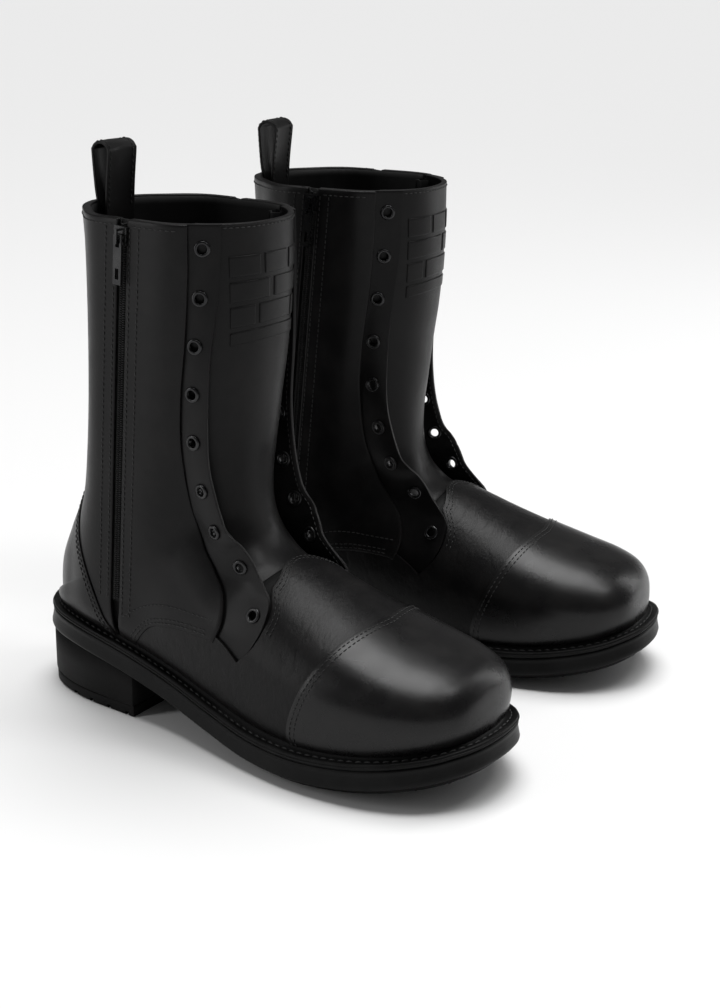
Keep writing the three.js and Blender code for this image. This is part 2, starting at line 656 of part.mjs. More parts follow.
// ---------------------------------------------------------------- zips
/** The zip's own frame on one side: x across it to the front, y along it upward, z outward. */
function zipFrame(inner) {
  const at = (z, off) => loft(...fromSide(zipAt(z, off), inner));
  const [low, high] = [at(80, 0), at(250, 0)];
  const along = high.clone().sub(low).normalize();
  const across = at(165, 3).sub(at(165, -3)).normalize();
  const out = across.clone().cross(along).normalize();
  const turned = inner ? out.clone().negate() : out.clone();
  const facingOut = new THREE.Vector3(0, inner ? -1 : 1, 0);
  if (turned.dot(facingOut) < 0) turned.negate();
  const x = along.clone().cross(turned).normalize();
  const reach = (z) => (z * stretchZ + SEAT - low.z) / along.z;
  return {
    matrix: new THREE.Matrix4().makeBasis(x, along, turned).setPosition(low),
    top: reach(280),
    bottom: reach(46),
  };
}
const block = (x0, x1, y0, y1, z0, z1) =>
  new THREE.BoxGeometry(x1 - x0, y1 - y0, z1 - z0).translate((x0 + x1) / 2, (y0 + y1) / 2, (z0 + z1) / 2);
const joined = (shapes) => shapes.map((g) => solidOf(cleaned(g))).reduce((a, b) => a.add(b));
const extruded = (outline, length) => {
  const shape = new THREE.Shape(outline.map(([x, y]) => new THREE.Vector2(x, y)));
  return cleaned(new THREE.ExtrudeGeometry(shape, { depth: length, bevelEnabled: false }));
};

function zipTape(inner) {
  const { matrix, top, bottom } = zipFrame(inner);
  const [h, c, low, up] = [TAPE_WIDTH / 2, COIL_WIDTH / 2, -GAP - TAPE, -GAP];
  const mid = up - 0.9;
  const outline = [[-h, low], [h, low], [h, mid], [c, mid], [c, 1], [-c, 1], [-c, mid], [-h, mid]];
  const g = extruded(outline, top - bottom - 5);
  g.rotateX(-Math.PI / 2).scale(1, 1, -1).translate(0, bottom + 4.5, 0);
  return backToGeometry(solidOf(g)).applyMatrix4(matrix);
}

const SLIDER_TOP = 3.6; // how far below the collar the closed slider stops
function zipSlider(inner) {
  const { matrix, top } = zipFrame(inner);
  const y1 = top - SLIDER_TOP;
  const y0 = y1 - SLIDER_LENGTH;
  const c = COIL_WIDTH / 2 + GAP;
  const z = LEATHER + GAP;
  const solid = joined([
    block(-4.3, 4.3, y0, y1, z, z + 1.5),
    block(-c - 0.5, -c, y0 + 0.6, y1 - 0.6, 0.3, z + 0.2),
    block(c, c + 0.5, y0 + 0.6, y1 - 0.6, 0.3, z + 0.2),
    block(-0.8, 0.8, y0 + 1, y0 + 2.2, z + 1.3, z + 5.2),
    block(-0.8, 0.8, y1 - 2.2, y1 - 1, z + 1.3, z + 5.2),
    block(-0.8, 0.8, y0 + 1, y1 - 1, z + 4.4, z + 5.4),
  ]);
  return backToGeometry(solid).applyMatrix4(matrix);
}

const PULL_BAR = 3.05; // height of the pull's cross bar over the slider's seat
function zipPull(inner) {
  const { matrix, top } = zipFrame(inner);
  const y = top - SLIDER_TOP - SLIDER_LENGTH / 2;
  const z = LEATHER + GAP + PULL_BAR;
  const h = PULL_WIDTH / 2;
  const rails = [
    block(-h, -1.35, y - 8, y + 0.7, z - 0.6, z + 0.6),
    block(1.35, h, y - 8, y + 0.7, z - 0.6, z + 0.6),
    block(-h + 0.2, h - 0.2, y - 0.65, y + 0.65, z - 0.55, z + 0.55),
    block(-h, h, y - PULL_LENGTH, y - 6.2, z - 0.6, z + 0.6),
  ];
  const slot = solidOf(cleaned(block(-1.2, 1.2, y - PULL_LENGTH + 3, y - PULL_LENGTH + 9, z - 2, z + 2)));
  return backToGeometry(joined(rails).subtract(slot)).applyMatrix4(matrix);
}

// ---------------------------------------------------------------- collar loop
function pullLoop() {
  const s = station(TOP - 1e-3);
  const reach = s.widest * (s.t[0] - s.b[0]) * stretchF;
  const half = s.half[0] * stretchW;
  const bow = (w) => reach * (1 - Math.sqrt(Math.max(1 - (w / half) ** 2, 0)));
  const back = s.b[0] * stretchF;
  const t = STRAP;
  const [outer, inner] = [back + 2.7, back + GAP * 4 + INTERLAYER + LINING + t + 1.2];
  const mid = (outer + inner) / 2;
  const radius = (inner - outer) / 2;
  const path = [[outer + 0.8, COLLAR_HEIGHT - 14], [outer, COLLAR_HEIGHT - 2]];
  const crown = COLLAR_HEIGHT + LOOP_HEIGHT - radius - 3;
  path.push([outer - 1.5, COLLAR_HEIGHT + 8], [outer - 3, crown]);
  for (const k of steps(6).slice(1, -1))
    path.push([
      mid + 0.5 - (radius + 3.5) * Math.cos(Math.PI * k), crown + (radius + 3) * Math.sin(Math.PI * k),
    ]);
  path.push([inner + 4, crown], [inner + 2, COLLAR_HEIGHT + 8], [inner + 0.8, COLLAR_HEIGHT - 14]);
  const sheet = (depth) =>
    path.map((p, i) => {
      const a = path[Math.max(i - 1, 0)];
      const b = path[Math.min(i + 1, path.length - 1)];
      const n = [b[1] - a[1], a[0] - b[0]];
      const l = Math.hypot(...n);
      return steps(4).map((k) => {
        const w = mix(-LOOP_WIDTH / 2, LOOP_WIDTH / 2, k);
        return new THREE.Vector3(p[0] + (depth * n[0]) / l + bow(w), w, p[1] + (depth * n[1]) / l);
      });
    });
  return between(sheet(0), sheet(t));
}

// ---------------------------------------------------------------- sole
const seatAt = (f) => {
  const [toe, next] = [station(0).b, station(1).b];
  if (f > toe[0] * stretchF) {
    const rise = (toe[1] - next[1]) / (toe[0] - next[0]);
    return (toe[1] + rise * (f / stretchF - toe[0])) * stretchZ + SEAT;
  }
  let [low, high] = [0, HEEL_STATION];
  for (let i = 0; i < 24; i++) {
    const mid = (low + high) / 2;
    if (station(mid).b[0] * stretchF > f) low = mid;
    else high = mid;
  }
  return station(low).b[1] * stretchZ + SEAT;
};
const rimCurve = (() => {
  const around = [];
  const edgePoint = (u, side) => {
    const s = station(u);
    return new THREE.Vector3(s.b[0] * stretchF, (side ? -1 : 1) * s.edge[side] * stretchW, 0);
  };
  for (let u = 0; u < HEEL_STATION; u++) around.push(edgePoint(u, 0));
  for (let u = HEEL_STATION; u > 0; u--) around.push(edgePoint(u, 1));
  const curve = new THREE.CatmullRomCurve3(around, true, "centripetal");
  curve.arcLengthDivisions = 400;
  return curve;
})();

/** A point of the sole's plan outline, off mm outside the upper's edge. k runs round from the toe. */
function rim(k, off, n) {
  const t = (((k % n) + n) % n) / n;
  const p = rimCurve.getPointAt(t);
  const d = rimCurve.getPointAt((t + 0.004) % 1).sub(rimCurve.getPointAt((t + 0.996) % 1)).normalize();
  return [p.x + off * d.y, p.y - off * d.x];
}

/** A plate with the sole's outline, off mm outside the upper's edge, between two heights that follow f. */
function plate(off, low, high, n = 52) {
  const sheet = (height, o) =>
    Array.from({ length: n / 2 + 1 }, (_, k) => {
      const [a, b] = [rim(k, o, n), rim(n - k, o, n)];
      return steps(3).map((t) => {
        const f = mix(a[0], b[0], t);
        return new THREE.Vector3(f, mix(a[1], b[1], t), height(f));
      });
    });
  return between(sheet(high, off), sheet(low, off));
}

/** A closed ring round the sole, between two offsets and two heights. */
function ringPiece(inside, outside, low, high, n = 52) {
  const sheet = (height) =>
    Array.from({ length: n }, (_, k) => [rim(k, inside, n), rim(k, outside, n)].map(
      ([f, w]) => new THREE.Vector3(f, w, height(f))));
  return between(sheet(high), sheet(low), true);
}
const under = (drop) => (f) => seatAt(f) - drop;
const WELT_TOP = LEATHER + 4 * GAP;
const SOLE_TOP = WELT_TOP + WELT + 2 * GAP;
const SOLE_BOTTOM = SOLE_TOP + OUTSOLE;
const box = (f0, f1, z0, z1) => solidOf(cleaned(block(f0, f1, -90, 90, z0, z1)));

const outsole = () => plate(WELT_WIDTH, under(SOLE_BOTTOM), under(SOLE_TOP));
const welt = () => ringPiece(-4.5, WELT_WIDTH - 0.6, under(WELT_TOP + WELT), under(WELT_TOP));
const insole = () => plate(-6.6, under(1.2), under(-1.6), 26);
const sockLiner = () => plate(-7, under(-1.6 - GAP), under(-1.6 - GAP - 2.2), 26);

function heelBlock() {
  const solid = solidOf(plate(WELT_WIDTH - 1, () => HEEL_LIFT + GAP, under(SOLE_BOTTOM + GAP)));
  return backToGeometry(solid.intersect(box(-60, HEEL_FRONT, -10, 90)));
}

function heelLift() {
  let solid = solidOf(plate(WELT_WIDTH - 1.4, () => 0, () => HEEL_LIFT))
    .intersect(box(-60, HEEL_FRONT, -10, 90));
  for (const f of HEEL_NOTCHES) {
    for (const w of [-1, 1])
      solid = solid.subtract(
        solidOf(cleaned(block(f, f + 4, w * 42 - 12, w * 42 + 12, -1, HEEL_LIFT * 0.6))),
      );
  }
  return backToGeometry(solid);
}

function tread() {
  const bottom = (f) => seatAt(f) - SOLE_BOTTOM - 3 * GAP - LUG;
  let solid = solidOf(plate(WELT_WIDTH - 3.5, bottom, under(SOLE_BOTTOM + 3 * GAP)));
  solid = solid.intersect(box(TREAD_FROM, 400, -10, 90));
  for (const f of TREAD_GROOVES) {
    const z = bottom(f) + LUG * 0.62;
    for (const w of [-1, 1])
      solid = solid.subtract(solidOf(cleaned(block(f - 2.2, f + 2.2, w * 45 - 27, w * 45 + 27, z - 12, z))));
  }
  return backToGeometry(solid);
}

function shank() {
  const sheet = (drop) =>
    steps(8).map((s) => [-8, 8].map((w) => {
      const f = mix(24, 138, s);
      return new THREE.Vector3(f, w, seatAt(f) - drop);
    }));
  return between(sheet(2), sheet(4.6));
}

// ---------------------------------------------------------------- the pair
const FINISH = {
  leather: [0x0b0b0c, 0.32, 0],
  lining: [0x141415, 0.7, 0],
  rubber: [0x0c0c0d, 0.75, 0],
  board: [0x6b5a45, 0.85, 0],
  steel: [0x8a8c90, 0.35, 1],
  metal: [0x101012, 0.28, 0.9],
  textile: [0x0a0a0b, 0.85, 0],
  thermo: [0x3a3a3c, 0.6, 0],
};
const PIECES = [
  ["toe_cap", "leather", toeCap], ["vamp", "leather", vamp], ["heel_counter", "leather", heelCounter],
  ["outer_quarter", "leather", () => quarter(false)], ["inner_quarter", "leather", () => quarter(true)],
  ["back_panel", "leather", backPanel],
  ["outer_facing", "leather", () => facing(false)], ["inner_facing", "leather", () => facing(true)],
  ["outer_eyelets", "metal", () => eyeletRow(false)], ["inner_eyelets", "metal", () => eyeletRow(true)],
  ["tongue", "leather", tongue], ["lining", "lining", lining],
  ["toe_stiffener", "thermo", toeStiffener], ["counter_stiffener", "thermo", counterStiffener],
  ["outer_zip", "textile", () => zipTape(false)], ["inner_zip", "textile", () => zipTape(true)],
  ["outer_slider", "metal", () => zipSlider(false)], ["inner_slider", "metal", () => zipSlider(true)],
  ["outer_pull", "metal", () => zipPull(false)], ["inner_pull", "metal", () => zipPull(true)],
  ["pull_loop", "leather", pullLoop], ["insole", "board", insole], ["sock_liner", "lining", sockLiner],
  ["welt", "rubber", welt], ["outsole", "rubber", outsole], ["heel_block", "rubber", heelBlock],
  ["heel_lift", "rubber", heelLift], ["tread", "rubber", tread], ["shank", "steel", shank],
];

/** Puts one boot's geometry in the pair's frame: toe towards -Y, outer side away from the other boot. */
function placed(geometry, left) {
  const m = new THREE.Matrix4().makeBasis(
    new THREE.Vector3(0, -1, 0), new THREE.Vector3(left ? 1 : -1, 0, 0), new THREE.Vector3(0, 0, 1));
  const turn = new THREE.Matrix4().makeRotationZ(((left ? 1 : -1) * TOE_OUT * Math.PI) / 180);
  const move = new THREE.Matrix4().makeTranslation(((left ? 1 : -1) * PAIR_SPACING) / 2,
    FRAME_Y - (left ? PAIR_STAGGER : 0), 0);
  const moved = geometry.clone().applyMatrix4(m).applyMatrix4(turn).applyMatrix4(move);
  return backToGeometry(solidOf(cleaned(moved)));
}

const group = new THREE.Group();
for (const [name, finish, make] of PIECES) {
  let geometry = make();
  for (const left of [false, true]) {
    const [color, roughness, metalness] = FINISH[finish];
    const material = new THREE.MeshStandardMaterial({ color, roughness, metalness });
    const mesh = new THREE.Mesh(placed(geometry, left), material);
    mesh.name = (left ? "left_" : "right_") + name;
    group.add(mesh);
  }
}
export default group;
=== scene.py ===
"""A pair of tall black leather boots: finely shaped leather, seams, zips, eyelets and rubber soles.

Every piece is built in one boot's own frame in millimetres (f forward, w to the outer side, z up) and then
placed twice: as the right boot, and mirrored as the left one. The upper is the same lofted surface as the
CAD part's, so each fine panel lies where its CAD node does.
"""

import logging
import math
from dataclasses import dataclass, field
from enum import Enum
from typing import Callable

import bpy
import numpy as np
from mathutils import Matrix, Vector

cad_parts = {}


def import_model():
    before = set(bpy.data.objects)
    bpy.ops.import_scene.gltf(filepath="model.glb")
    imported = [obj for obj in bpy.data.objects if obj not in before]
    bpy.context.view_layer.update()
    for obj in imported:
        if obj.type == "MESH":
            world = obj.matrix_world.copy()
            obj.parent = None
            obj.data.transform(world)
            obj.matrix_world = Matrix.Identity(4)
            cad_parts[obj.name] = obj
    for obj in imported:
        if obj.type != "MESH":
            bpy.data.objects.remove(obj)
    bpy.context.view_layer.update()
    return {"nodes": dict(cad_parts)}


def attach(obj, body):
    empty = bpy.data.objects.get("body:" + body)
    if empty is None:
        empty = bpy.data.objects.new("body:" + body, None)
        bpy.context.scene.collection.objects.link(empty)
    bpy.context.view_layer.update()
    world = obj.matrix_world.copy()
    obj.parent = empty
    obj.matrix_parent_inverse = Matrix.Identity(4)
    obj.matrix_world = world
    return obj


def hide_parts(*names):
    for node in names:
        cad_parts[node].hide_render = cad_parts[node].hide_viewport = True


LOG = logging.getLogger("boots")
Array = np.ndarray
Curve = Callable[[Array], Array]

# ------------------------------------------------------------------ sizes, mm
DRAWN_COLLAR = 280.0
COLLAR_HEIGHT = 300.0
LEATHER = 2.0
WELT = 3.5
OUTSOLE = 11.0
LUG = 5.5
HEEL_LIFT = 7.0
HEEL_FRONT = 67.0
GAP = 0.3
SEAT = LEATHER + 9 * GAP + WELT + OUTSOLE + LUG
WELT_TOP = LEATHER + 4 * GAP
SOLE_TOP = WELT_TOP + WELT + 2 * GAP
SOLE_BOTTOM = SOLE_TOP + OUTSOLE
STRETCH_Z = (COLLAR_HEIGHT - SEAT) / DRAWN_COLLAR
TOE_OUT = 5.0
PAIR_SPACING = 146.5
PAIR_STAGGER = 16.0
FRAME_Y = 142.97
EYELETS = 9
EDGE_TO_EYELET = 9.0
ZIP_FLAT = 11  # flat this far each side of a zip's line
ZIP_FADE = 32  # and back to the loft's own curve by here
ZIP_FOOT = 24  # the flattening starts at this height, as drawn
ZIP_FOOT_FADE = 18
WELD_CELLS = 50  # points that fall in one cell of a millimetre cut in this many become one

# [B f, B z, T f, T z, outer half, inner half, outer edge, inner edge, widest at, roundness] for each cut
STATIONS = np.array([
    [285, 15, 285, 15, 0, 0, 0, 0, 0.3, 2.1],
    [282.5, 14.3, 283.5, 27, 18.5, 18.5, 17, 17, 0.32, 2.1],
    [275, 12, 281, 36.5, 32, 31.5, 29.5, 29, 0.34, 2.15],
    [262, 9, 273.5, 43.5, 43, 42, 40.5, 40, 0.36, 2.2],
    [243, 5.2, 260, 48.5, 50.5, 48.5, 49, 47, 0.38, 2.25],
    [220, 1.9, 241, 53, 55, 52.5, 53.5, 50.5, 0.38, 2.3],
    [193, 0.2, 217, 60, 56.5, 53, 54.5, 50.5, 0.4, 2.25],
    [163, 1.2, 193, 69, 54.5, 50.5, 50.5, 45.5, 0.4, 2.15],
    [130, 6.5, 170, 78, 50.5, 47.5, 43.5, 37.5, 0.42, 2.15],
    [97, 13.5, 150, 85, 47.5, 45, 37, 32.5, 0.45, 2.2],
    [62, 22, 139, 94, 45, 43.5, 34.5, 33, 0.5, 2.3],
    [27, 28.5, 134.8, 103, 43.5, 42.5, 32, 32, 0.52, 2.3],
    [2, 30.5, 133.2, 111, 42.5, 42, 24, 24, 0.52, 2.3],
    [-11, 31, 132.6, 119, 42, 41.5, 11.5, 11.5, 0.52, 2.3],
    [-14, 31.3, 132.6, 128, 42, 41.5, 0, 0, 0.52, 2.3],
    [-12, 52, 133, 138, 42, 41.8, 0, 0, 0.52, 2.3],
    [-3, 74, 134, 150, 42.5, 42.3, 0, 0, 0.52, 2.3],
    [9, 100, 135, 164, 43.5, 43.3, 0, 0, 0.52, 2.3],
    [16, 129, 136.5, 182, 45, 44.8, 0, 0, 0.52, 2.3],
    [20, 163, 139, 204, 46.5, 46.5, 0, 0, 0.52, 2.3],
    [21, 201, 140.5, 229, 48, 48, 0, 0, 0.52, 2.3],
    [20, 241, 141, 255, 49.3, 49.3, 0, 0, 0.52, 2.35],
    [18, 280, 140.5, 280, 50.5, 50.5, 0, 0, 0.52, 2.4],
], dtype=float)
TOP = len(STATIONS) - 1
HEEL_STATION = 14
THROAT = 8.85
ZIP_TOP = np.array([77.0, 280.0])
ZIP_BOTTOM = np.array([55.0, 46.0])
ZIP_LEAN = float((ZIP_TOP[0] - ZIP_BOTTOM[0]) / (ZIP_TOP[1] - ZIP_BOTTOM[1]))
ARCH = [[152, 36], [143, 40.5], [136, 43], [130, 44], [117, 44.5], [100, 43.5], [82, 38], [66, 22]]
STITCHED_ARCH = [[60.5, 39.5], [73, 48], [88, 54.5], [103, 56.7], [118, 56.3], [133, 55.5]]
COUNTER_SEAM = [[52, 25], [45, 37], [37, 56], [27, 80], [17, 108], [12.5, 121]]
BEND_LINE = [
    [112, 280], [111, 250], [108, 215], [103.5, 180], [101.5, 150], [103.5, 118], [112, 94], [122, 80],
    [131, 68], [134, 56], [130, 44],
]
FRONT_EDGE = [
    [129.5, 280, 0], [128, 246, 1.5], [122, 200, 5], [118.5, 165, 8], [117.5, 138, 13], [121.5, 110, 18],
    [128, 95, 20], [138, 84.5, 17], [148.5, 77, 12], [157, 72, 8], [163.5, 67, 5], [164.1, 57, 2.5],
    [158.8, 46, 1], [151.3, 37, 0],
]
VAMP_BACK = [[158, 75], [165.5, 65], [165.4, 55], [161, 45.5], [152, 36]]


class Side(Enum):
    """Which boot of the pair."""

    RIGHT = "right"
    LEFT = "left"


# ------------------------------------------------------------------ curves
def mix(a: float | Array, b: float | Array, t: float | Array) -> float | Array:
    """Blends from a to b as t goes 0 to 1."""
    return a + (b - a) * t


def fade(x: Array | float) -> Array:
    """Smooth step from 0 to 1."""
    t = np.clip(x, 0, 1)
    return t * t * (3 - 2 * t)


def rounded(q: list[Array], t: Array) -> Array:
    """A point of the rounded curve through four points, t of the way from the second to the third."""
    return 0.5 * (2 * q[1] + t * (q[2] - q[0]) + t**2 * (2 * q[0] - 5 * q[1] + 4 * q[2] - q[3])
                  + t**3 * (-q[0] + 3 * q[1] - 3 * q[2] + q[3]))


def smooth_path(points: list, dense: int = 400) -> Curve:
    """A rounded path through points.

    Args:
        points: corner points, each of two or three numbers.
        dense: how finely the path is sampled.

    Returns:
        A function of 0..1 along the path's length that gives its points.
    """
    p = np.array(points, dtype=float)
    k = np.linspace(0, len(p) - 1, dense)
    i = np.clip(np.floor(k).astype(int), 0, len(p) - 2)
    t = (k - i)[:, None]
    q = [p[np.clip(i + d, 0, len(p) - 1)] for d in (-1, 0, 1, 2)]
    return by_length(rounded(q, t))


def by_length(points: Array) -> Curve:
    """A path of straight pieces through points, as a function of 0..1 along its length."""
    p = np.asarray(points, dtype=float)
    along = np.concatenate([[0], np.cumsum(np.linalg.norm(np.diff(p[:, :2], axis=0), axis=1))])
    along /= along[-1]

    def at(t: Array) -> Array:
        return np.stack([np.interp(t, along, p[:, c]) for c in range(p.shape[1])], axis=-1)

    return at


def coons(top: Curve, bottom: Curve, left: Curve, right: Curve, rows: int, columns: int) -> Array:
    """A grid filled in between four edges, rows running left to right."""
    s = np.linspace(0, 1, columns + 1)[None, :, None]
    t = np.linspace(0, 1, rows + 1)[:, None, None]
    up, low = top(s[0, :, 0])[None], bottom(s[0, :, 0])[None]
    lft, rgt = left(t[:, 0, 0])[:, None], right(t[:, 0, 0])[:, None]
    corners = mix(mix(up[:, :1], up[:, -1:], s), mix(low[:, :1], low[:, -1:], s), t)
    return mix(up, low, t) + mix(lft, rgt, s) - corners


# ------------------------------------------------------------------ the lofted surface
class Loft:
    """The upper's surface: places (u, a) to points, normals and back."""

    @staticmethod
    def station(u: Array) -> Array:
        """The ten numbers of the cut at each place u along the fan."""
        k = np.clip(np.floor(u).astype(int), 0, TOP - 1)
        t = (u - k)[..., None]
        q = [STATIONS[np.clip(k + d, 0, TOP)] for d in (-1, 0, 1, 2)]
        s = rounded(q, t)
        s[..., 4:8] = np.maximum(s[..., 4:8], 0)
        s[..., 6:8] = np.where((u >= HEEL_STATION)[..., None], 0, s[..., 6:8])
        return s

    @classmethod
    def drawn(cls, u: Array, a: Array) -> Array:
        """Points of the loft before the zips flatten it, as drawn."""
        s = cls.station(u)
        inner = a < 0
        half = np.where(inner, s[..., 5], s[..., 4])
        edge = np.where(inner, s[..., 7], s[..., 6])
        angle = np.minimum(np.abs(a), math.pi)
        c, sn = np.cos(angle), np.maximum(np.sin(angle), 0)
        p = 2 / s[..., 9]
        widest = s[..., 8]
        up = np.where(c >= 0, widest + (1 - widest) * np.maximum(c, 0) ** p, widest * (1 + c))
        out = np.where(c >= 0, half * sn**p, edge + (half - edge) * sn)
        f = s[..., 0] + (s[..., 2] - s[..., 0]) * up
        z = s[..., 1] + (s[..., 3] - s[..., 1]) * up
        return np.stack([f, np.where(inner, -out, out), z], axis=-1)

    @classmethod
    def from_side(cls, fz: Array, inner: bool = False) -> Array:
        """Places on the loft of points seen from the side, f and z as drawn."""
        shape = fz.shape[:-1]
        f, z = fz[..., 0].ravel(), fz[..., 1].ravel()
        us = np.arange(0.02, TOP + 1e-9, 0.04)
        us[-1] = TOP
        s = cls.station(us)
        miss = ((s[:, 2] - s[:, 0])[None] * (z[:, None] - s[:, 1][None])
                - (s[:, 3] - s[:, 1])[None] * (f[:, None] - s[:, 0][None]))
        sign = miss[:, :-1] * miss[:, 1:] <= 0
        first = sign.shape[1] - 1 - np.argmax(sign[:, ::-1], axis=1)
        found = sign.any(axis=1)
        i = np.arange(len(f))
        m0, m1 = miss[i, first], miss[i, first + 1]
        t = np.where(np.abs(m0 - m1) > 1e-9, m0 / np.where(m0 == m1, 1, m0 - m1), 0)
        u = np.where(found, mix(us[first], us[first + 1], t), TOP)
        q = cls.station(u)
        d = q[:, 2:4] - q[:, 0:2]
        up = ((f - q[:, 0]) * d[:, 0] + (z - q[:, 1]) * d[:, 1]) / (d**2).sum(axis=1)
        w = q[:, 8]
        high = np.arccos(np.clip((up - w) / (1 - w), 0, 1) ** (q[:, 9] / 2))
        low = np.arccos(np.clip(up / w - 1, -1, 0))
        angle = np.where(up >= w, high, low)
        angle = np.where(angle > math.pi - 4e-3, math.pi, np.where(angle < 4e-3, 0, angle))
        return np.stack([u, -angle if inner else angle], axis=-1).reshape(*shape, 2)

    @classmethod
    def point(cls, u: Array, a: Array) -> Array:
        """Points of the surface, in the boot's own frame, mm."""
        p = cls.drawn(u, a)
        f, w, z = p[..., 0], p[..., 1], p[..., 2]
        away = np.abs(f - ZIP_BOTTOM[0] - ZIP_LEAN * (z - ZIP_BOTTOM[1]))
        near = (1 - fade((away - ZIP_FLAT) / ZIP_FADE)) * fade((z - ZIP_FOOT) / ZIP_FOOT_FADE)
        planes = np.where((a < 0)[..., None], ZIP_PLANES[1], ZIP_PLANES[0])
        base, slope = planes[..., 0], planes[..., 1]
        w = w + (base + slope * z - w) * near
        return np.stack([f, w, z * STRETCH_Z + SEAT], axis=-1)

    @classmethod
    def normal(cls, u: Array, a: Array) -> Array:
        """Outward directions of the surface."""
        h = 0.02
        du = cls.point(np.minimum(u + h, TOP), a) - cls.point(np.maximum(u - h, 0.001), a)
        low = np.where((a > 0) & (a - h < 0), 0, np.maximum(a - h, -math.pi))
        high = np.where((a < 0) & (a + h > 0), 0, np.minimum(a + h, math.pi))
        da = cls.point(u, high) - cls.point(u, low)
        n = -np.cross(du, da)
        back = (u >= HEEL_STATION) & (np.abs(a) > math.pi - 1e-6)
        n[..., 1] = np.where(back, 0, n[..., 1])
        n /= np.maximum(np.linalg.norm(n, axis=-1, keepdims=True), 1e-9)
        return np.where((u < 1e-6)[..., None], np.array([1.0, 0, 0]), n)


def _zip_planes() -> Array:
    """The two zips' planes: how far out each is at a height, as base and slope."""
    planes = []
    for inner in (False, True):
        ends = Loft.from_side(np.array([ZIP_BOTTOM, [ZIP_TOP[0], ZIP_TOP[1] - 1]]), inner)
        low, high = Loft.drawn(ends[:, 0], ends[:, 1])[:, 1]
        slope = (high - low) / (ZIP_TOP[1] - ZIP_BOTTOM[1])
        planes.append([low - slope * ZIP_BOTTOM[1], slope])
    return np.array(planes)


ZIP_PLANES = np.zeros((2, 2))
ZIP_PLANES = _zip_planes()


def seat_at(f: Array) -> Array:
    """Height of the upper's lower edge above the floor at a distance forward."""
    u = np.linspace(0, HEEL_STATION, 500)
    s = Loft.station(np.minimum(u, HEEL_STATION - 1e-6))
    z = np.interp(f, s[::-1, 0], s[::-1, 1])
    rise = (STATIONS[0, 1] - STATIONS[1, 1]) / (STATIONS[0, 0] - STATIONS[1, 0])
    return (z + rise * np.maximum(f - STATIONS[0, 0], 0)) * STRETCH_Z + SEAT


class Outline:
    """The sole's plan outline, round from the toe by the outer side."""

    def __init__(self) -> None:
        u = np.linspace(0, HEEL_STATION, 240)
        s = Loft.station(np.minimum(u, HEEL_STATION - 1e-6))
        s[-1, 6:8] = 0
        outer = np.stack([s[:, 0], s[:, 6]], axis=1)
        inner = np.stack([s[:, 0], -s[:, 7]], axis=1)[::-1]
        loop = np.concatenate([outer, inner[1:-1]])
        step = np.linalg.norm(np.diff(np.concatenate([loop, loop[:1]]), axis=0), axis=1)
        along = np.concatenate([[0], np.cumsum(step)])
        closed = np.concatenate([loop, loop[:1]])
        n = 720
        even = np.linspace(0, along[-1], n, endpoint=False)
        p = np.stack([np.interp(even, along, closed[:, c]) for c in (0, 1)], axis=1)
        for _ in range(24):
            p = 0.5 * p + 0.25 * (np.roll(p, 1, axis=0) + np.roll(p, -1, axis=0))
        self.points = p
        d = np.roll(p, -3, axis=0) - np.roll(p, 3, axis=0)
        d /= np.linalg.norm(d, axis=1, keepdims=True)
        self.out = np.stack([d[:, 1], -d[:, 0]], axis=1)
        if self.out[0, 0] < 0:
            self.out = -self.out

    def at(self, off: Array | float, count: int = 240) -> Array:
        """Points of the outline, off mm further out. off may be one number or one for each point."""
        i = (np.arange(count) * len(self.points)) // count
        o = np.broadcast_to(off, (count,))[:, None]
        return self.points[i] + self.out[i] * o


# ------------------------------------------------------------------ meshes
@dataclass
class Solid:
    """Points in the boot's own frame and the faces over them."""

    points: Array
    faces: list

    def joined(self, *others: "Solid") -> "Solid":
        """This solid and others as one."""
        points, faces, start = [self.points], list(self.faces), len(self.points)
        for o in others:
            points.append(o.points)
            faces += [tuple(i + start for i in f) for f in o.faces]
            start += len(o.points)
        return Solid(np.concatenate(points), faces)


def grid_faces(rows: int, columns: int, start: int = 0, wrap: bool = False) -> list:
    """Quads over a grid of rows by columns of points; wrap joins the last column to the first."""
    out = []
    for i in range(rows - 1):
        for j in range(columns if wrap else columns - 1):
            n = (j + 1) % columns
            out.append((start + i * columns + j, start + i * columns + n,
                        start + (i + 1) * columns + n, start + (i + 1) * columns + j))
    return out


Depth = float | Callable[[Array, Array], Array]


def shell(grids: list[Array], inside: Depth, outside: Depth) -> Solid:
    """A closed sheet of leather over grids of places, which join where their edges meet.

    Args:
        grids: arrays of places, rows by columns by two.
        inside: depth of the inner face along the surface's outward direction.
        outside: depth of the outer face.

    Returns:
        The sheet with its walls.
    """
    places, faces, start = [], [], 0
    for g in grids:
        r, c = g.shape[:2]
        area = np.sum((g[1:, 1:, 0] - g[:-1, :-1, 0]) * (g[1:, :-1, 1] - g[:-1, 1:, 1])
                      - (g[1:, 1:, 1] - g[:-1, :-1, 1]) * (g[1:, :-1, 0] - g[:-1, 1:, 0]))
        quads = grid_faces(r, c, start)
        faces += [q[::-1] for q in quads] if area < 0 else quads
        places.append(g.reshape(-1, 2))
        start += r * c
    place = np.concatenate(places)
    u, a = place[:, 0], place[:, 1]
    base, n = Loft.point(u, a), Loft.normal(u, a)
    cells = np.round(base * WELD_CELLS).astype(int)
    _, first, inverse = np.unique(cells, axis=0, return_index=True, return_inverse=True)
    inverse = inverse.ravel()
    depth = [d(u, a) if callable(d) else np.full(len(u), d) for d in (inside, outside)]
    low, high = [(base + n * d[:, None])[first] for d in depth]
    return thick(low, high, [tuple(int(inverse[i]) for i in f) for f in faces])


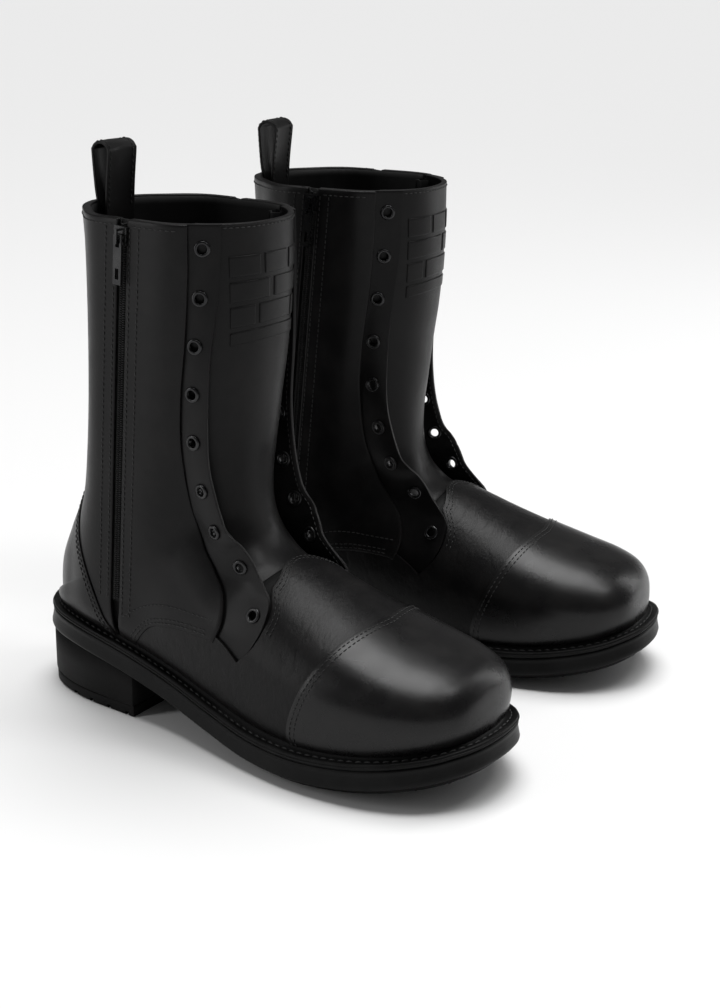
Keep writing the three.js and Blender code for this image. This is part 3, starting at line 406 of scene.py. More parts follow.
def thick(low: Array, high: Array, quads: list) -> Solid:
    """A closed solid between two layers of points that share their faces."""
    m = len(high)
    faces, edges = [], {}
    for f in quads:
        f = [f[i] for i in range(len(f)) if f[i] != f[i - 1]]
        if len(f) < 3:
            continue
        faces.append(tuple(f))
        faces.append(tuple(i + m for i in reversed(f)))
        for i, p in enumerate(f):
            edges[(p, f[(i + 1) % len(f)])] = True
    faces += [(q, p, p + m, q + m) for p, q in edges if (q, p) not in edges]
    return Solid(np.concatenate([high, low]), faces)


def tube(path: Array, radius: float, sides: int = 6, closed: bool = False) -> Solid:
    """A round cord along a path of points."""
    n = len(path)
    t = np.roll(path, -1, axis=0) - np.roll(path, 1, axis=0)
    if not closed:
        t[0], t[-1] = path[1] - path[0], path[-1] - path[-2]
    t /= np.maximum(np.linalg.norm(t, axis=1, keepdims=True), 1e-9)
    ref = np.array([0.13, 0.31, 0.94])
    x = np.cross(t, ref)
    x /= np.linalg.norm(x, axis=1, keepdims=True)
    y = np.cross(t, x)
    k = np.arange(sides) * 2 * math.pi / sides
    spokes = np.cos(k)[None, :, None] * x[:, None] + np.sin(k)[None, :, None] * y[:, None]
    ring = path[:, None] + radius * spokes
    faces = grid_faces(n, sides, 0, wrap=True)
    if closed:
        last = (n - 1) * sides
        faces += [(last + j, last + (j + 1) % sides, (j + 1) % sides, j) for j in range(sides)]
    else:
        faces += [tuple(range(sides))[::-1], tuple(range((n - 1) * sides, n * sides))]
    return Solid(ring.reshape(-1, 3), faces)


def beads(points: Array, along: Array, out: Array, length: float, radius: float, rise: float = 0.5) -> Solid:
    """Short rounded threads lying on a surface: one at each point, along a direction.

    Args:
        points: their middles, on the surface.
        along: the direction of each.
        out: the surface's outward direction at each.
        length: length of a thread, mm.
        radius: half its thickness.
        rise: how far its middle stands off the surface, in radii.

    Returns:
        All the threads as one solid.
    """
    n = len(points)
    side = np.cross(along, out)
    ts = np.array([-0.5, -0.34, 0, 0.34, 0.5])
    rs = np.array([0.25, 0.85, 1.0, 0.85, 0.25])
    drop = np.array([-0.9, -0.1, 0.25, -0.1, -0.9])
    k = np.arange(6) * math.pi / 3
    c = points[:, None] + along[:, None] * (ts * length)[None, :, None] \
        + out[:, None] * ((drop + rise) * radius)[None, :, None]
    spokes = (np.cos(k)[None, None, :, None] * side[:, None, None]
              + np.sin(k)[None, None, :, None] * out[:, None, None])
    ring = c[:, :, None] + spokes * (rs * radius)[None, :, None, None]
    one = grid_faces(5, 6, 0, wrap=True) + [tuple(range(6))[::-1], tuple(range(24, 30))]
    faces = [tuple(i + 30 * b for i in f) for b in range(n) for f in one]
    return Solid(ring.reshape(-1, 3), faces)


# ------------------------------------------------------------------ placing both boots
class Placer:
    """Turns a solid of one boot into named, finished objects of the pair."""

    def __init__(self) -> None:
        self.made: dict[str, bpy.types.Object] = {}

    @staticmethod
    def matrix(side: Side) -> Array:
        """Rows that take a boot's own millimetres to the pair's metres."""
        s = 1.0 if side is Side.LEFT else -1.0
        basis = np.array([[0, s, 0], [-1, 0, 0], [0, 0, 1.0]])
        t = math.radians(s * TOE_OUT)
        turn = np.array([[math.cos(t), -math.sin(t), 0], [math.sin(t), math.cos(t), 0], [0, 0, 1]])
        m = np.eye(4)
        m[:3, :3] = turn @ basis
        m[:3, 3] = [s * PAIR_SPACING / 2, FRAME_Y - (PAIR_STAGGER if side is Side.LEFT else 0), 0]
        return m

    def place(self, name: str, solid: Solid, finish: "Finish", nodes: tuple[str, ...] = (),
              bevel: float = 0.0, body: str = "boot", slot: str | None = None,
              cut: Solid | None = None, flat: bool = False) -> None:
        """Adds a piece to both boots.

        Args:
            name: the piece's name without its side.
            solid: its shape in the boot's own frame.
            finish: its surface.
            nodes: CAD nodes it stands for, without their side.
            bevel: rounding of its sharp edges, mm.
            body: the body it moves with, without its side.
            slot: the record's material slot; not used.
            cut: a shape taken away from it.
            flat: whether its faces keep their corners.
        """
        for side in Side:
            m = self.matrix(side)
            ob = self._object(f"{side.value}_{name}", solid, m)
            if cut is not None:
                tool = self._object("cut", cut, m)
                self._modify(ob, "BOOLEAN", operation="DIFFERENCE", object=tool, solver="EXACT")
                bpy.data.objects.remove(tool)
            if bevel:
                self._modify(ob, "BEVEL", width=bevel / 1000, segments=2, limit_method="ANGLE",
                             angle_limit=math.radians(50), use_clamp_overlap=True)
            if not flat:
                ob.data.shade_smooth()
            ob.data.materials.clear()
            ob.data.materials.append(finish.material)
            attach(ob, f"{side.value}_{body}")
            if nodes:
                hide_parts(*[f"{side.value}_{n}" for n in nodes])
            self.made[ob.name] = ob
        LOG.info("%s: %d faces on each boot", name, len(ob.data.polygons))

    @staticmethod
    def _object(name: str, solid: Solid, m: Array) -> bpy.types.Object:
        """A mesh object with its faces out."""
        p = solid.points @ m[:3, :3].T / 1000 + m[:3, 3] / 1000
        mirrored = np.linalg.det(m[:3, :3]) < 0
        faces = [f[::-1] for f in solid.faces] if mirrored else solid.faces
        mesh = bpy.data.meshes.new(name)
        mesh.from_pydata(p.tolist(), [], faces)
        mesh.validate()
        ob = bpy.data.objects.new(name, mesh)
        bpy.context.scene.collection.objects.link(ob)
        bpy.ops.object.select_all(action="DESELECT")
        ob.select_set(True)
        bpy.context.view_layer.objects.active = ob
        bpy.ops.object.mode_set(mode="EDIT")
        bpy.ops.mesh.select_all(action="SELECT")
        bpy.ops.mesh.normals_make_consistent(inside=False)
        bpy.ops.object.mode_set(mode="OBJECT")
        return ob

    @staticmethod
    def _modify(ob: bpy.types.Object, kind: str, **settings: object) -> None:
        """Adds one modifier and applies it."""
        bpy.ops.object.select_all(action="DESELECT")
        ob.select_set(True)
        bpy.context.view_layer.objects.active = ob
        mod = ob.modifiers.new(kind.lower(), kind)
        for key, value in settings.items():
            setattr(mod, key, value)
        bpy.ops.object.modifier_apply(modifier=mod.name)


# ------------------------------------------------------------------ finishes
class Nodes:
    """A short way to wire shader nodes."""

    def __init__(self, name: str) -> None:
        self.material = bpy.data.materials.new(name)
        self.material.use_nodes = True
        self.tree = self.material.node_tree
        self.tree.nodes.clear()
        self.out = self.tree.nodes.new("ShaderNodeOutputMaterial")
        self.shader = self.tree.nodes.new("ShaderNodeBsdfPrincipled")
        self.tree.links.new(self.shader.outputs[0], self.out.inputs[0])
        self.coords = self.tree.nodes.new("ShaderNodeTexCoord").outputs["Object"]

    def add(self, kind: str, props: dict | None = None, **inputs: object) -> bpy.types.Node:
        """Adds a node; each keyword is an input's value or the socket that feeds it."""
        node = self.tree.nodes.new(kind)
        for key, value in (props or {}).items():
            setattr(node, key, value)
        for key, value in inputs.items():
            numbered = key[0] == "i" and key[1:].isdigit()
            self.set(node.inputs[int(key[1:]) if numbered else key], value)
        return node

    def set(self, socket: bpy.types.NodeSocket, value: object) -> None:
        """Feeds a socket with another socket or a value."""
        if isinstance(value, bpy.types.NodeSocket):
            self.tree.links.new(value, socket)
        else:
            socket.default_value = value

    def noise(self, scale: float, detail: float = 3, rough: float = 0.55, coords: object = None) -> object:
        """Noise over the surface, about 0 to 1."""
        n = self.add("ShaderNodeTexNoise", Scale=scale, Detail=detail, Roughness=rough,
                     Vector=coords or self.coords)
        return n.outputs["Fac"]

    def ranged(self, value: object, low: float, high: float, start: float = 0.0, end: float = 1.0) -> object:
        """Maps a value from start..end to low..high."""
        n = self.add("ShaderNodeMapRange", i0=value, i1=start, i2=end, i3=low, i4=high)
        return n.outputs[0]

    def bump(self, height: object, strength: float, distance: float, normal: object = None) -> object:
        """A bump from a height."""
        n = self.add("ShaderNodeBump", Strength=strength, Distance=distance, Height=height)
        if normal is not None:
            self.set(n.inputs["Normal"], normal)
        return n.outputs["Normal"]


@dataclass(frozen=True)
class Finish:
    """A surface: its colour, gloss and relief."""

    name: str
    color: tuple[float, float, float] = (0.0045, 0.0043, 0.0045)
    worn: tuple[float, float, float] = (0.008, 0.0075, 0.0075)
    gloss: tuple[float, float] = (0.3, 0.42)
    coat: float = 0.05
    specular: float = 0.12
    metallic: float = 0.0
    grain: float = 1500.0
    grain_depth: float = 0.00006
    creases: float = 0.0
    fabric: bool = False
    cache: dict = field(default_factory=dict, compare=False, hash=False)

    @property
    def material(self) -> bpy.types.Material:
        """The Blender material, made once."""
        if "m" not in self.cache:
            self.cache["m"] = self._build()
        return self.cache["m"]

    def _build(self) -> bpy.types.Material:
        n = Nodes(self.name)
        cloud = n.noise(14, 4)
        smudge = n.noise(55, 5, 0.6)
        colour = n.add("ShaderNodeMix", {"data_type": "RGBA"}, i0=n.ranged(smudge, 0, 1, 0.42, 0.72),
                       i6=(*self.color, 1), i7=(*self.worn, 1)).outputs[2]
        rough = n.add("ShaderNodeMath", {"operation": "ADD"},
                      i0=n.ranged(cloud, self.gloss[0], self.gloss[1], 0.35, 0.65),
                      i1=n.ranged(smudge, -0.03, 0.04, 0.35, 0.65)).outputs[0]
        n.set(n.shader.inputs["Base Color"], colour)
        n.set(n.shader.inputs["Roughness"], rough)
        n.set(n.shader.inputs["Metallic"], self.metallic)
        n.set(n.shader.inputs["Specular IOR Level"], self.specular)
        n.set(n.shader.inputs["Coat Weight"], self.coat)
        n.set(n.shader.inputs["Coat Roughness"], 0.22)
        if self.fabric:
            wave = n.add("ShaderNodeTexWave", {"bands_direction": "Z"}, Scale=420.0, Distortion=0.6,
                         Vector=n.coords).outputs["Fac"]
            normal = n.bump(wave, 0.6, 0.0003)
        else:
            cells = n.add("ShaderNodeTexVoronoi", {"feature": "DISTANCE_TO_EDGE"}, Scale=self.grain,
                          Vector=n.coords).outputs["Distance"]
            pebble = n.ranged(cells, 0, 1, 0, 0.12)
            normal = n.bump(pebble, 0.35, self.grain_depth)
            normal = n.bump(n.noise(self.grain * 0.35, 4), 0.25, self.grain_depth * 2, normal)
            normal = n.bump(n.noise(60, 3), 0.14, 0.0006, normal)
            if self.creases:
                stretched = n.add("ShaderNodeMapping", Vector=n.coords, Scale=(1.0, 3.2, 1.8)).outputs[0]
                folds = n.noise(26, 5, 0.62, stretched)
                ridge = n.add("ShaderNodeMath", {"operation": "ABSOLUTE"},
                              i0=n.ranged(folds, -1, 1)).outputs[0]
                normal = n.bump(n.ranged(ridge, 0, 1, 0, 0.22), self.creases, 0.0009, normal)
        n.set(n.shader.inputs["Normal"], normal)
        return n.material


@dataclass(frozen=True)
class Finishes:
    """Every surface of the pair."""

    calf: Finish = Finish("calf", gloss=(0.32, 0.42))
    toe: Finish = Finish("toe_calf", coat=0.06, gloss=(0.24, 0.32), specular=0.22, grain_depth=0.00004)
    vamp: Finish = Finish("vamp_calf", coat=0.04, gloss=(0.3, 0.4), creases=0.16)
    tongue: Finish = Finish("tongue_calf", gloss=(0.33, 0.45))
    lining: Finish = Finish("lining", (0.006, 0.006, 0.006), (0.011, 0.011, 0.011), (0.55, 0.7),
                            0.0, grain=900.0)
    strap: Finish = Finish("strap_calf", gloss=(0.4, 0.5))
    thread: Finish = Finish("thread", (0.007, 0.007, 0.007), (0.013, 0.013, 0.013), (0.4, 0.55),
                            0.0, 0.4, grain=4000.0)
    metal: Finish = Finish("black_metal", (0.02, 0.02, 0.021), (0.035, 0.035, 0.035), (0.2, 0.32),
                           0.1, 0.5, 0.8, grain=2500.0, grain_depth=0.00001)
    coil: Finish = Finish("zip_coil", (0.012, 0.012, 0.012), (0.02, 0.02, 0.02), (0.3, 0.4), 0.0,
                          grain=3000.0)
    tape: Finish = Finish("zip_tape", (0.008, 0.008, 0.008), (0.014, 0.014, 0.014), (0.7, 0.85), 0.0,
                          fabric=True)
    rubber: Finish = Finish("sole_rubber", (0.005, 0.005, 0.005), (0.009, 0.0085, 0.0085), (0.5, 0.62),
                            0.0, 0.08, grain=1100.0, grain_depth=0.00008)
    welt: Finish = Finish("welt_rubber", (0.004, 0.004, 0.004), (0.008, 0.008, 0.008), (0.34, 0.46),
                          0.0, 0.1, grain=1300.0)
    edge: Finish = Finish("sole_edge", (0.004, 0.004, 0.004), (0.008, 0.008, 0.008), (0.34, 0.44),
                          0.0, 0.1, grain=1300.0)
    board: Finish = Finish("board", (0.3, 0.24, 0.17), (0.36, 0.3, 0.22), (0.7, 0.8), 0.0)
    steel: Finish = Finish("steel", (0.5, 0.5, 0.5), (0.4, 0.4, 0.4), (0.3, 0.4), 0.0, 0.5, 1.0)


# ------------------------------------------------------------------ stitching
def side_path(curve: Curve, inner: bool, depth: float, count: int = 400) -> tuple[Array, Array]:
    """Points and outward directions on the surface along a side-view curve."""
    place = Loft.from_side(curve(np.linspace(0, 1, count)), inner)
    return place_path(place, depth)


def place_path(place: Array, depth: float) -> tuple[Array, Array]:
    """Points and outward directions over a row of places, at a depth."""
    n = Loft.normal(place[:, 0], place[:, 1])
    return Loft.point(place[:, 0], place[:, 1]) + n * depth, n


def shifted(curve: Curve, off: float, count: int = 300) -> Curve:
    """A side-view curve moved off mm to the left of its direction."""
    p = curve(np.linspace(0, 1, count))[:, :2]
    d = np.gradient(p, axis=0)
    d /= np.maximum(np.linalg.norm(d, axis=1, keepdims=True), 1e-9)
    return by_length(p + off * np.stack([-d[:, 1], d[:, 0]], axis=1))


def stitches(path: tuple[Array, Array], pitch: float = 3.3, length: float = 2.5,
             radius: float = 0.33) -> Solid:
    """A row of stitches along points with their outward directions."""
    p, n = path
    along = np.concatenate([[0], np.cumsum(np.linalg.norm(np.diff(p, axis=0), axis=1))])
    count = max(int(along[-1] / pitch), 2)
    at = (np.arange(count) + 0.5) * along[-1] / count
    q = np.stack([np.interp(at, along, p[:, c]) for c in range(3)], axis=1)
    m = np.stack([np.interp(at, along, n[:, c]) for c in range(3)], axis=1)
    m /= np.linalg.norm(m, axis=1, keepdims=True)
    d = np.stack([np.interp(at + 0.6, along, p[:, c]) - np.interp(at - 0.6, along, p[:, c])
                  for c in range(3)], axis=1)
    d /= np.maximum(np.linalg.norm(d, axis=1, keepdims=True), 1e-9)
    return beads(q, d, m, length, radius)


def union(parts: list[Solid]) -> Solid:
    """Several solids as one."""
    return parts[0].joined(*parts[1:])


def toe_seam(a: Array) -> Array:
    """The toe cap's back edge: its station at an angle."""
    return 6.02 + 0.27 * np.sin(np.abs(a))


def tongue_reach(u: Array) -> Array:
    """How far round the tongue goes at a station, short of the facings' bend."""
    places = Loft.from_side(smooth_path(BEND_LINE)(np.linspace(0, 1, 120)))
    order = np.argsort(places[:, 0])
    bend = np.interp(u, places[order, 0], places[order, 1])
    return mix(0.72, bend - 0.1, fade((u - THROAT + 0.18) / 2))


def straight(*points: tuple | list | Array) -> Curve:
    """A path of straight lines through side-view points."""
    return by_length(np.array(points, dtype=float))


def zip_at(z: float, off: float) -> Array:
    """A side-view point at a height, off mm in front of the zip's line."""
    return np.array([ZIP_BOTTOM[0] + ZIP_LEAN * (z - ZIP_BOTTOM[1]) + off, z])


BOTH = (False, True)


# ------------------------------------------------------------------ the upper
@dataclass
class Foot:
    """Toe cap, vamp and heel counter."""

    finishes: Finishes
    placer: Placer

    def build(self) -> None:
        """Builds the leather of the foot."""
        self._toe_cap()
        self._vamp()
        self._counter()

    def _toe_cap(self) -> None:
        a = np.linspace(-math.pi, math.pi, 113)
        s = np.linspace(0, 1, 65)
        grid = np.stack([s[:, None] * toe_seam(a)[None], np.broadcast_to(a, (65, 113))], axis=-1)
        self.placer.place("fine_toe_cap", shell([grid], 0, 2.6), self.finishes.toe, ("toe_cap",), 0.5,
                          slot="upper_leather")
        b = np.linspace(-3.05, 3.05, 500)
        rows = [stitches(place_path(np.stack([toe_seam(b) - off, b], axis=1), 2.6)) for off in (0.085, 0.19)]
        self.placer.place("toe_cap_stitches", union(rows), self.finishes.thread, slot="upper_leather")

    def _vamp(self) -> None:
        grids = []
        tip = Loft.from_side(np.array([ARCH[0]], dtype=float))[0]
        split = tip[1] + 0.1
        back = smooth_path(VAMP_BACK)
        for inner in BOTH:
            sign = -1 if inner else 1
            t = np.linspace(0, 1, 41)
            throat = Loft.from_side(back(np.maximum((t - 0.2) / 0.8, 0)))
            lead = t < 0.2
            start = Loft.from_side(back(np.zeros(1)))[0]
            throat[lead, 0] = mix(THROAT, start[0], fade(t[lead] / 0.2))
            throat[lead, 1] = start[1] * t[lead] / 0.2
            s = np.linspace(0, 1, 41)[:, None]
            a0 = t * split
            upper = np.stack([mix((toe_seam(a0) - 0.1)[None], throat[None, :, 0] + 0.02, s),
                              mix(a0[None], throat[None, :, 1], s)], axis=-1)
            a1, b1 = mix(split, math.pi, t), mix(tip[1], math.pi, t)
            lower = np.stack([mix((toe_seam(a1) - 0.1)[None], np.full((1, 41), tip[0] + 0.02), s),
                              mix(a1[None], b1[None], s)], axis=-1)
            arch = smooth_path([[p[0], p[1] + 4 * math.sin(math.pi * min(i / 6, 1))]
                                for i, p in enumerate(ARCH)])
            k = np.linspace(0, 1, 61)
            edge = Loft.from_side(arch(k))
            edge[0], edge[-1, 1] = (tip[0] + 0.02, tip[1]), math.pi
            foot = edge[-1, 0]
            base = mix(tip[0] + 0.02, foot, k)
            v = np.linspace(0, 1, 41)[None]
            wing = np.stack([mix(edge[:, :1], base[:, None], v), mix(edge[:, 1:], math.pi, v)], axis=-1)
            for g in (upper, lower, wing):
                g[..., 1] *= sign
                grids.append(g)
        self.placer.place("fine_vamp", shell(grids, 0, 1.5), self.finishes.vamp, ("vamp",), 0.4,
                          slot="upper_leather")
        rows = []
        for off in (2.2, 4.8):
            for inner in BOTH:
                p = smooth_path(VAMP_BACK[:3])(np.linspace(0, 1, 120))
                place = Loft.from_side(p + np.array([off, -0.3 * off]), inner)
                rows.append(stitches(place_path(place, 1.5)))
            first = Loft.from_side(np.array([[158 + off, 75 - 0.3 * off]]))[0]
            a = np.linspace(-first[1], first[1], 200)
            u = mix(THROAT - off / 26, first[0], fade(np.abs(a) / first[1]))
            rows.append(stitches(place_path(np.stack([u, a], axis=1), 1.5)))
        self.placer.place("throat_stitches", union(rows), self.finishes.thread, slot="upper_leather")

    def _counter(self) -> None:
        seam = Loft.from_side(smooth_path(COUNTER_SEAM)(np.linspace(0, 1, 300)))
        seam[0, 1] = seam[-1, 1] = math.pi
        order = np.argsort(seam[:, 0])
        us = np.linspace(seam[:, 0].min() + 0.02, seam[:, 0].max() - 0.02, 72)
        top = np.interp(us, seam[order, 0], seam[order, 1])
        top[0] = top[-1] = math.pi
        t = np.linspace(0, 1, 37)[None]
        grids = [np.stack([np.broadcast_to(us[:, None], (72, 37)),
                           sign * mix(top[:, None], math.pi, t)], axis=-1)
                 for sign in (1, -1)]
        self.placer.place("fine_counter", shell(grids, 0, 2.7), self.finishes.calf, ("heel_counter",), 0.5,
                          slot="upper_leather")
        rows = [stitches(side_path(shifted(smooth_path(COUNTER_SEAM), off), inner, 2.7))
                for off in (2.2, 4.6) for inner in BOTH]
        self.placer.place("counter_stitches", union(rows), self.finishes.thread, slot="upper_leather")


@dataclass
class Shaft:
    """Quarters, back panel, lining and collar."""

    finishes: Finishes
    placer: Placer

    def build(self) -> None:
        """Builds the leather of the leg."""
        for inner in BOTH:
            self._quarter(inner)
        self._back()
        self._lining()
        self._stitching()

    def _quarter(self, inner: bool) -> None:
        name = "inner" if inner else "outer"
        back = straight(zip_at(280, 3.4), zip_at(46, 3.4), (54.5, 22.6))
        front = shifted(smooth_path(BEND_LINE), 3.5)
        base = smooth_path([[54.5, 22.6], [66, 22.4], *ARCH[3:-1][::-1], [133.3, 42.9]])
        edge = float(front(np.zeros(1))[0, 0])
        top = straight(zip_at(280, 3.4), (edge, 280))
        grid = Loft.from_side(coons(top, base, back, front, 120, 30), inner)
        lip = Loft.from_side(coons(top, straight(zip_at(277.6, 3.4), (edge, 277.6)),
                                   straight(zip_at(280, 3.4), zip_at(277.6, 3.4)),
                                   straight(top(np.ones(1))[0], (edge, 277.6)), 4, 24), inner)
        solid = shell([grid], 0, 2.1).joined(shell([lip], -3.0, 2.0))
        self.placer.place(f"fine_{name}_quarter", solid, self.finishes.calf, (f"{name}_quarter",), 0.6,
                          slot="upper_leather")

    def _back(self) -> None:
        grids, lips = [], []
        for inner in BOTH:
            front = straight(zip_at(280, -3.4), zip_at(46, -3.4), (52.2, 24))
            us = np.linspace(TOP, 16.2, 100)
            back = by_length(Loft.station(us)[:, :2])
            top = straight(zip_at(280, -3.4), (18, 280))
            seam = smooth_path([[52.2, 24], [46, 35], [38, 54], [28, 78], [18, 106],
                                list(back(np.ones(1))[0])])
            grid = Loft.from_side(coons(top, seam, front, back, 110, 36), inner)
            grid[:, -1, 1] = -math.pi if inner else math.pi
            grid[0, :, 0] = TOP
            grids.append(grid)
            lip = Loft.from_side(coons(top, straight(zip_at(277.6, -3.4), (18.15, 277.6)),
                                       straight(zip_at(280, -3.4), zip_at(277.6, -3.4)),
                                       straight((18, 280), (18.15, 277.6)), 3, 36), inner)
            lip[:, -1, 1] = -math.pi if inner else math.pi
            lips.append(lip)
        solid = shell(grids, 0, 2.0).joined(shell(lips, -3.0, 1.9))
        self.placer.place("fine_back_panel", solid, self.finishes.calf, ("back_panel",), 0.6,
                          slot="upper_leather")

    def _lining(self) -> None:
        us = np.concatenate([np.linspace(0.8, 13.9, 50), np.linspace(14, TOP - 0.05, 50)])
        o = tongue_reach(us) + 0.08
        t = np.linspace(0, 1, 25)[None]
        sides = [np.stack([np.broadcast_to(us[:, None], (100, 25)),
                           s * mix(o[:, None], math.pi, t)], axis=-1)
                 for s in (1, -1)]
        foot = us[us < THROAT]
        over = np.stack([np.broadcast_to(foot[:, None], (len(foot), 17)),
                         (tongue_reach(foot) + 0.08)[:, None] * np.linspace(-1, 1, 17)[None]], axis=-1)
        self.placer.place("fine_lining", shell([*sides, over], -3.4, -2.2), self.finishes.lining,
                          ("lining",), slot="lining_leather")
        folds = []
        for sign in (1, -1):
            z = np.linspace(150, 277, 30)
            ring = []
            for height in z:
                place = Loft.from_side(np.array([[111.0, height]]), sign < 0)[0]
                edge = Loft.from_side(np.array([[122.0, height]]), sign < 0)[0]
                a, b = place_path(np.array([place]), -3.6)[0][0], place_path(np.array([edge]), -6.5)[0][0]
                inward = np.array([0, -sign * 1.0, 0])
                deep = 10 * (0.4 + 0.6 * math.sin((height - 150) / 127 * math.pi / 2))
                mid = (a + b) / 2 + inward * deep + np.array([-6, 0, 0])
                k = np.linspace(0, 1, 17)[:, None]
                ring.append((1 - k) ** 2 * a + 2 * k * (1 - k) * mid + k**2 * b
                            + inward * 2.2 * np.sin(k * 3 * math.pi))
            p = np.array(ring)
            shift = np.array([0.0, sign * 0.9, 0])
            quads = grid_faces(30, 17)
            folds.append(thick(p.reshape(-1, 3) - shift, p.reshape(-1, 3), quads))
        self.placer.place("gussets", union(folds), self.finishes.lining, bevel=0.2, slot="lining_leather")

    def _stitching(self) -> None:
        rows = []
        arch = smooth_path(ARCH)
        for inner in BOTH:
            for off in (-2.2, -4.6):
                path = shifted(arch, off)
                rows.append(stitches(side_path(by_length(path(np.linspace(0.27, 0.97, 200))), inner, 2.1)))
            rows.append(stitches(side_path(smooth_path(STITCHED_ARCH), inner, 2.1)))
            for off in (5.6, 11.5):
                rows.append(stitches(side_path(straight(zip_at(276, off), zip_at(40, off)), inner, 2.1)))
                rows.append(stitches(side_path(straight(zip_at(276, -off), zip_at(50, -off)), inner, 2.0)))
            rows.append(stitches(side_path(straight(zip_at(276.4, 7), (110.5, 276.4)), inner, 2.1)))
            rows.append(stitches(side_path(straight(zip_at(276.4, -7), (18.3, 276.4)), inner, 2.0)))
        self.placer.place("shaft_stitches", union(rows), self.finishes.thread, slot="upper_leather")


class FacingSurface:
    """The flap that carries the eyelets: it leaves the loft at its bend and stands off it in front."""

    bend = staticmethod(smooth_path(BEND_LINE))
    front = staticmethod(smooth_path(FRONT_EDGE))
    arch = staticmethod(smooth_path(ARCH[:4][::-1]))

    @classmethod
    def base(cls, s: Array, t: Array, inner: bool) -> Array:
        """Points of the flap's inner face: s down from the collar, t forward from the bend."""
        s, t = np.clip(s, 0, 1), np.clip(t, 0, 1)
        start, end, low = cls.bend(s)[..., :2], cls.front(s), cls.arch(t)
        last_a, last_b = cls.bend(np.ones(1))[0, :2], cls.front(np.ones(1))[0, :2]
        p = mix(start, end[..., :2], t[..., None])
        flat = mix(last_a, last_b, t[..., None])
        p = p + fade((s - 0.8) / 0.2)[..., None] * (low[..., :2] - flat)
        place = Loft.from_side(p, inner)
        u, a = place[..., 0], place[..., 1]
        return Loft.point(u, a) + Loft.normal(u, a) * (end[..., 2] * t * np.sqrt(t))[..., None]

    @classmethod
    def at(cls, s: Array, t: Array, inner: bool) -> tuple[Array, Array]:
        """Points of the inner face and its outward directions."""
        s, t = np.asarray(s, float), np.asarray(t, float)
        h = 0.012
        ds = cls.base(s + h, t, inner) - cls.base(s - h, t, inner)
        dt = cls.base(s, t + h, inner) - cls.base(s, t - h, inner)
        n = np.cross(ds, dt) * (-1 if inner else 1)
        n /= np.maximum(np.linalg.norm(n, axis=-1, keepdims=True), 1e-9)
        return cls.base(s, t, inner), n

    @classmethod
    def behind(cls, s: Array, off: float) -> Array:
        """How far forward a line off mm behind the front edge is."""
        z = np.zeros_like(s)
        width = np.linalg.norm(cls.base(s, z, False) - cls.base(s, z + 1, False), axis=-1)
        return 1 - off / width


@dataclass
class Facings:
    """The two facings with their eyelets."""

    finishes: Finishes
    placer: Placer

    def build(self) -> None:
        """Builds both facings."""
        for inner in BOTH:
            self._one(inner, "inner" if inner else "outer")

    def _one(self, inner: bool, name: str) -> None:
        s, t = np.meshgrid(np.linspace(0, 1, 150), np.linspace(-0.0, 1, 31), indexing="ij")
        p, n = FacingSurface.at(s, t, inner)
        p, n = p.reshape(-1, 3), n.reshape(-1, 3)
        rise = 0.9 * fade((1 - t.ravel()) * 14)
        solid = thick(p + n * 0.2, p + n * (1.9 + rise * 0.8)[:, None], grid_faces(150, 31))
        k = np.linspace(0.051, 0.898, EYELETS)
        q, m = FacingSurface.at(k, FacingSurface.behind(k, EDGE_TO_EYELET), inner)
        holes = union([tube(np.array([c - d * 6, c + d * 8]), 2.75, 20) for c, d in zip(q, m)])
        self.placer.place(f"fine_{name}_facing", solid, self.finishes.calf, (f"{name}_facing",), 0.45,
                          slot="upper_leather", cut=holes)
        self.placer.place(f"fine_{name}_eyelets", union([self._eyelet(c, d) for c, d in zip(q, m)]),
                          self.finishes.metal, (f"{name}_eyelets",), slot="black_metal")
        rows = []
        v = np.linspace(0.012, 0.985, 500)
        c, d = FacingSurface.at(v, FacingSurface.behind(v, 2.4), inner)
        rows.append(stitches((c + d * 2.5, d)))
        for off in (0.06, 0.13):
            c, d = FacingSurface.at(v, np.full_like(v, off), inner)
            rows.append(stitches((c + d * 2.6, d)))
        w = np.linspace(0.08, 0.94, 120)
        for at in (0.012, 0.985):
            c, d = FacingSurface.at(np.full_like(w, at), w, inner)
            rows.append(stitches((c + d * 2.6, d)))
        self.placer.place(f"{name}_facing_stitches", union(rows), self.finishes.thread, slot="upper_leather")

    @staticmethod
    def _eyelet(centre: Array, out: Array) -> Solid:
        profile = np.array([[4.95, 2.5], [4.9, 3.0], [4.5, 3.4], [3.8, 3.5], [3.1, 3.2], [2.7, 2.6],
                            [2.6, 1.0], [2.6, -0.8], [3.0, -1.2], [4.2, -1.0], [4.5, -0.5],
                            [4.5, 0.4], [3.2, 0.6], [3.2, 2.4]])
        x = np.cross(out, [0.3, 0.1, 0.95])
        x /= np.linalg.norm(x)
        y = np.cross(out, x)
        k = np.linspace(0, 2 * math.pi, 28, endpoint=False)
        spokes = np.cos(k)[:, None, None] * x + np.sin(k)[:, None, None] * y
        ring = centre + spokes * profile[None, :, :1] + out * profile[None, :, 1:]
        n, m = ring.shape[:2]
        faces = [(i * m + j, i * m + (j + 1) % m, ((i + 1) % n) * m + (j + 1) % m, ((i + 1) % n) * m + j)
                 for i in range(n) for j in range(m)]
        return Solid(ring.reshape(-1, 3), faces)


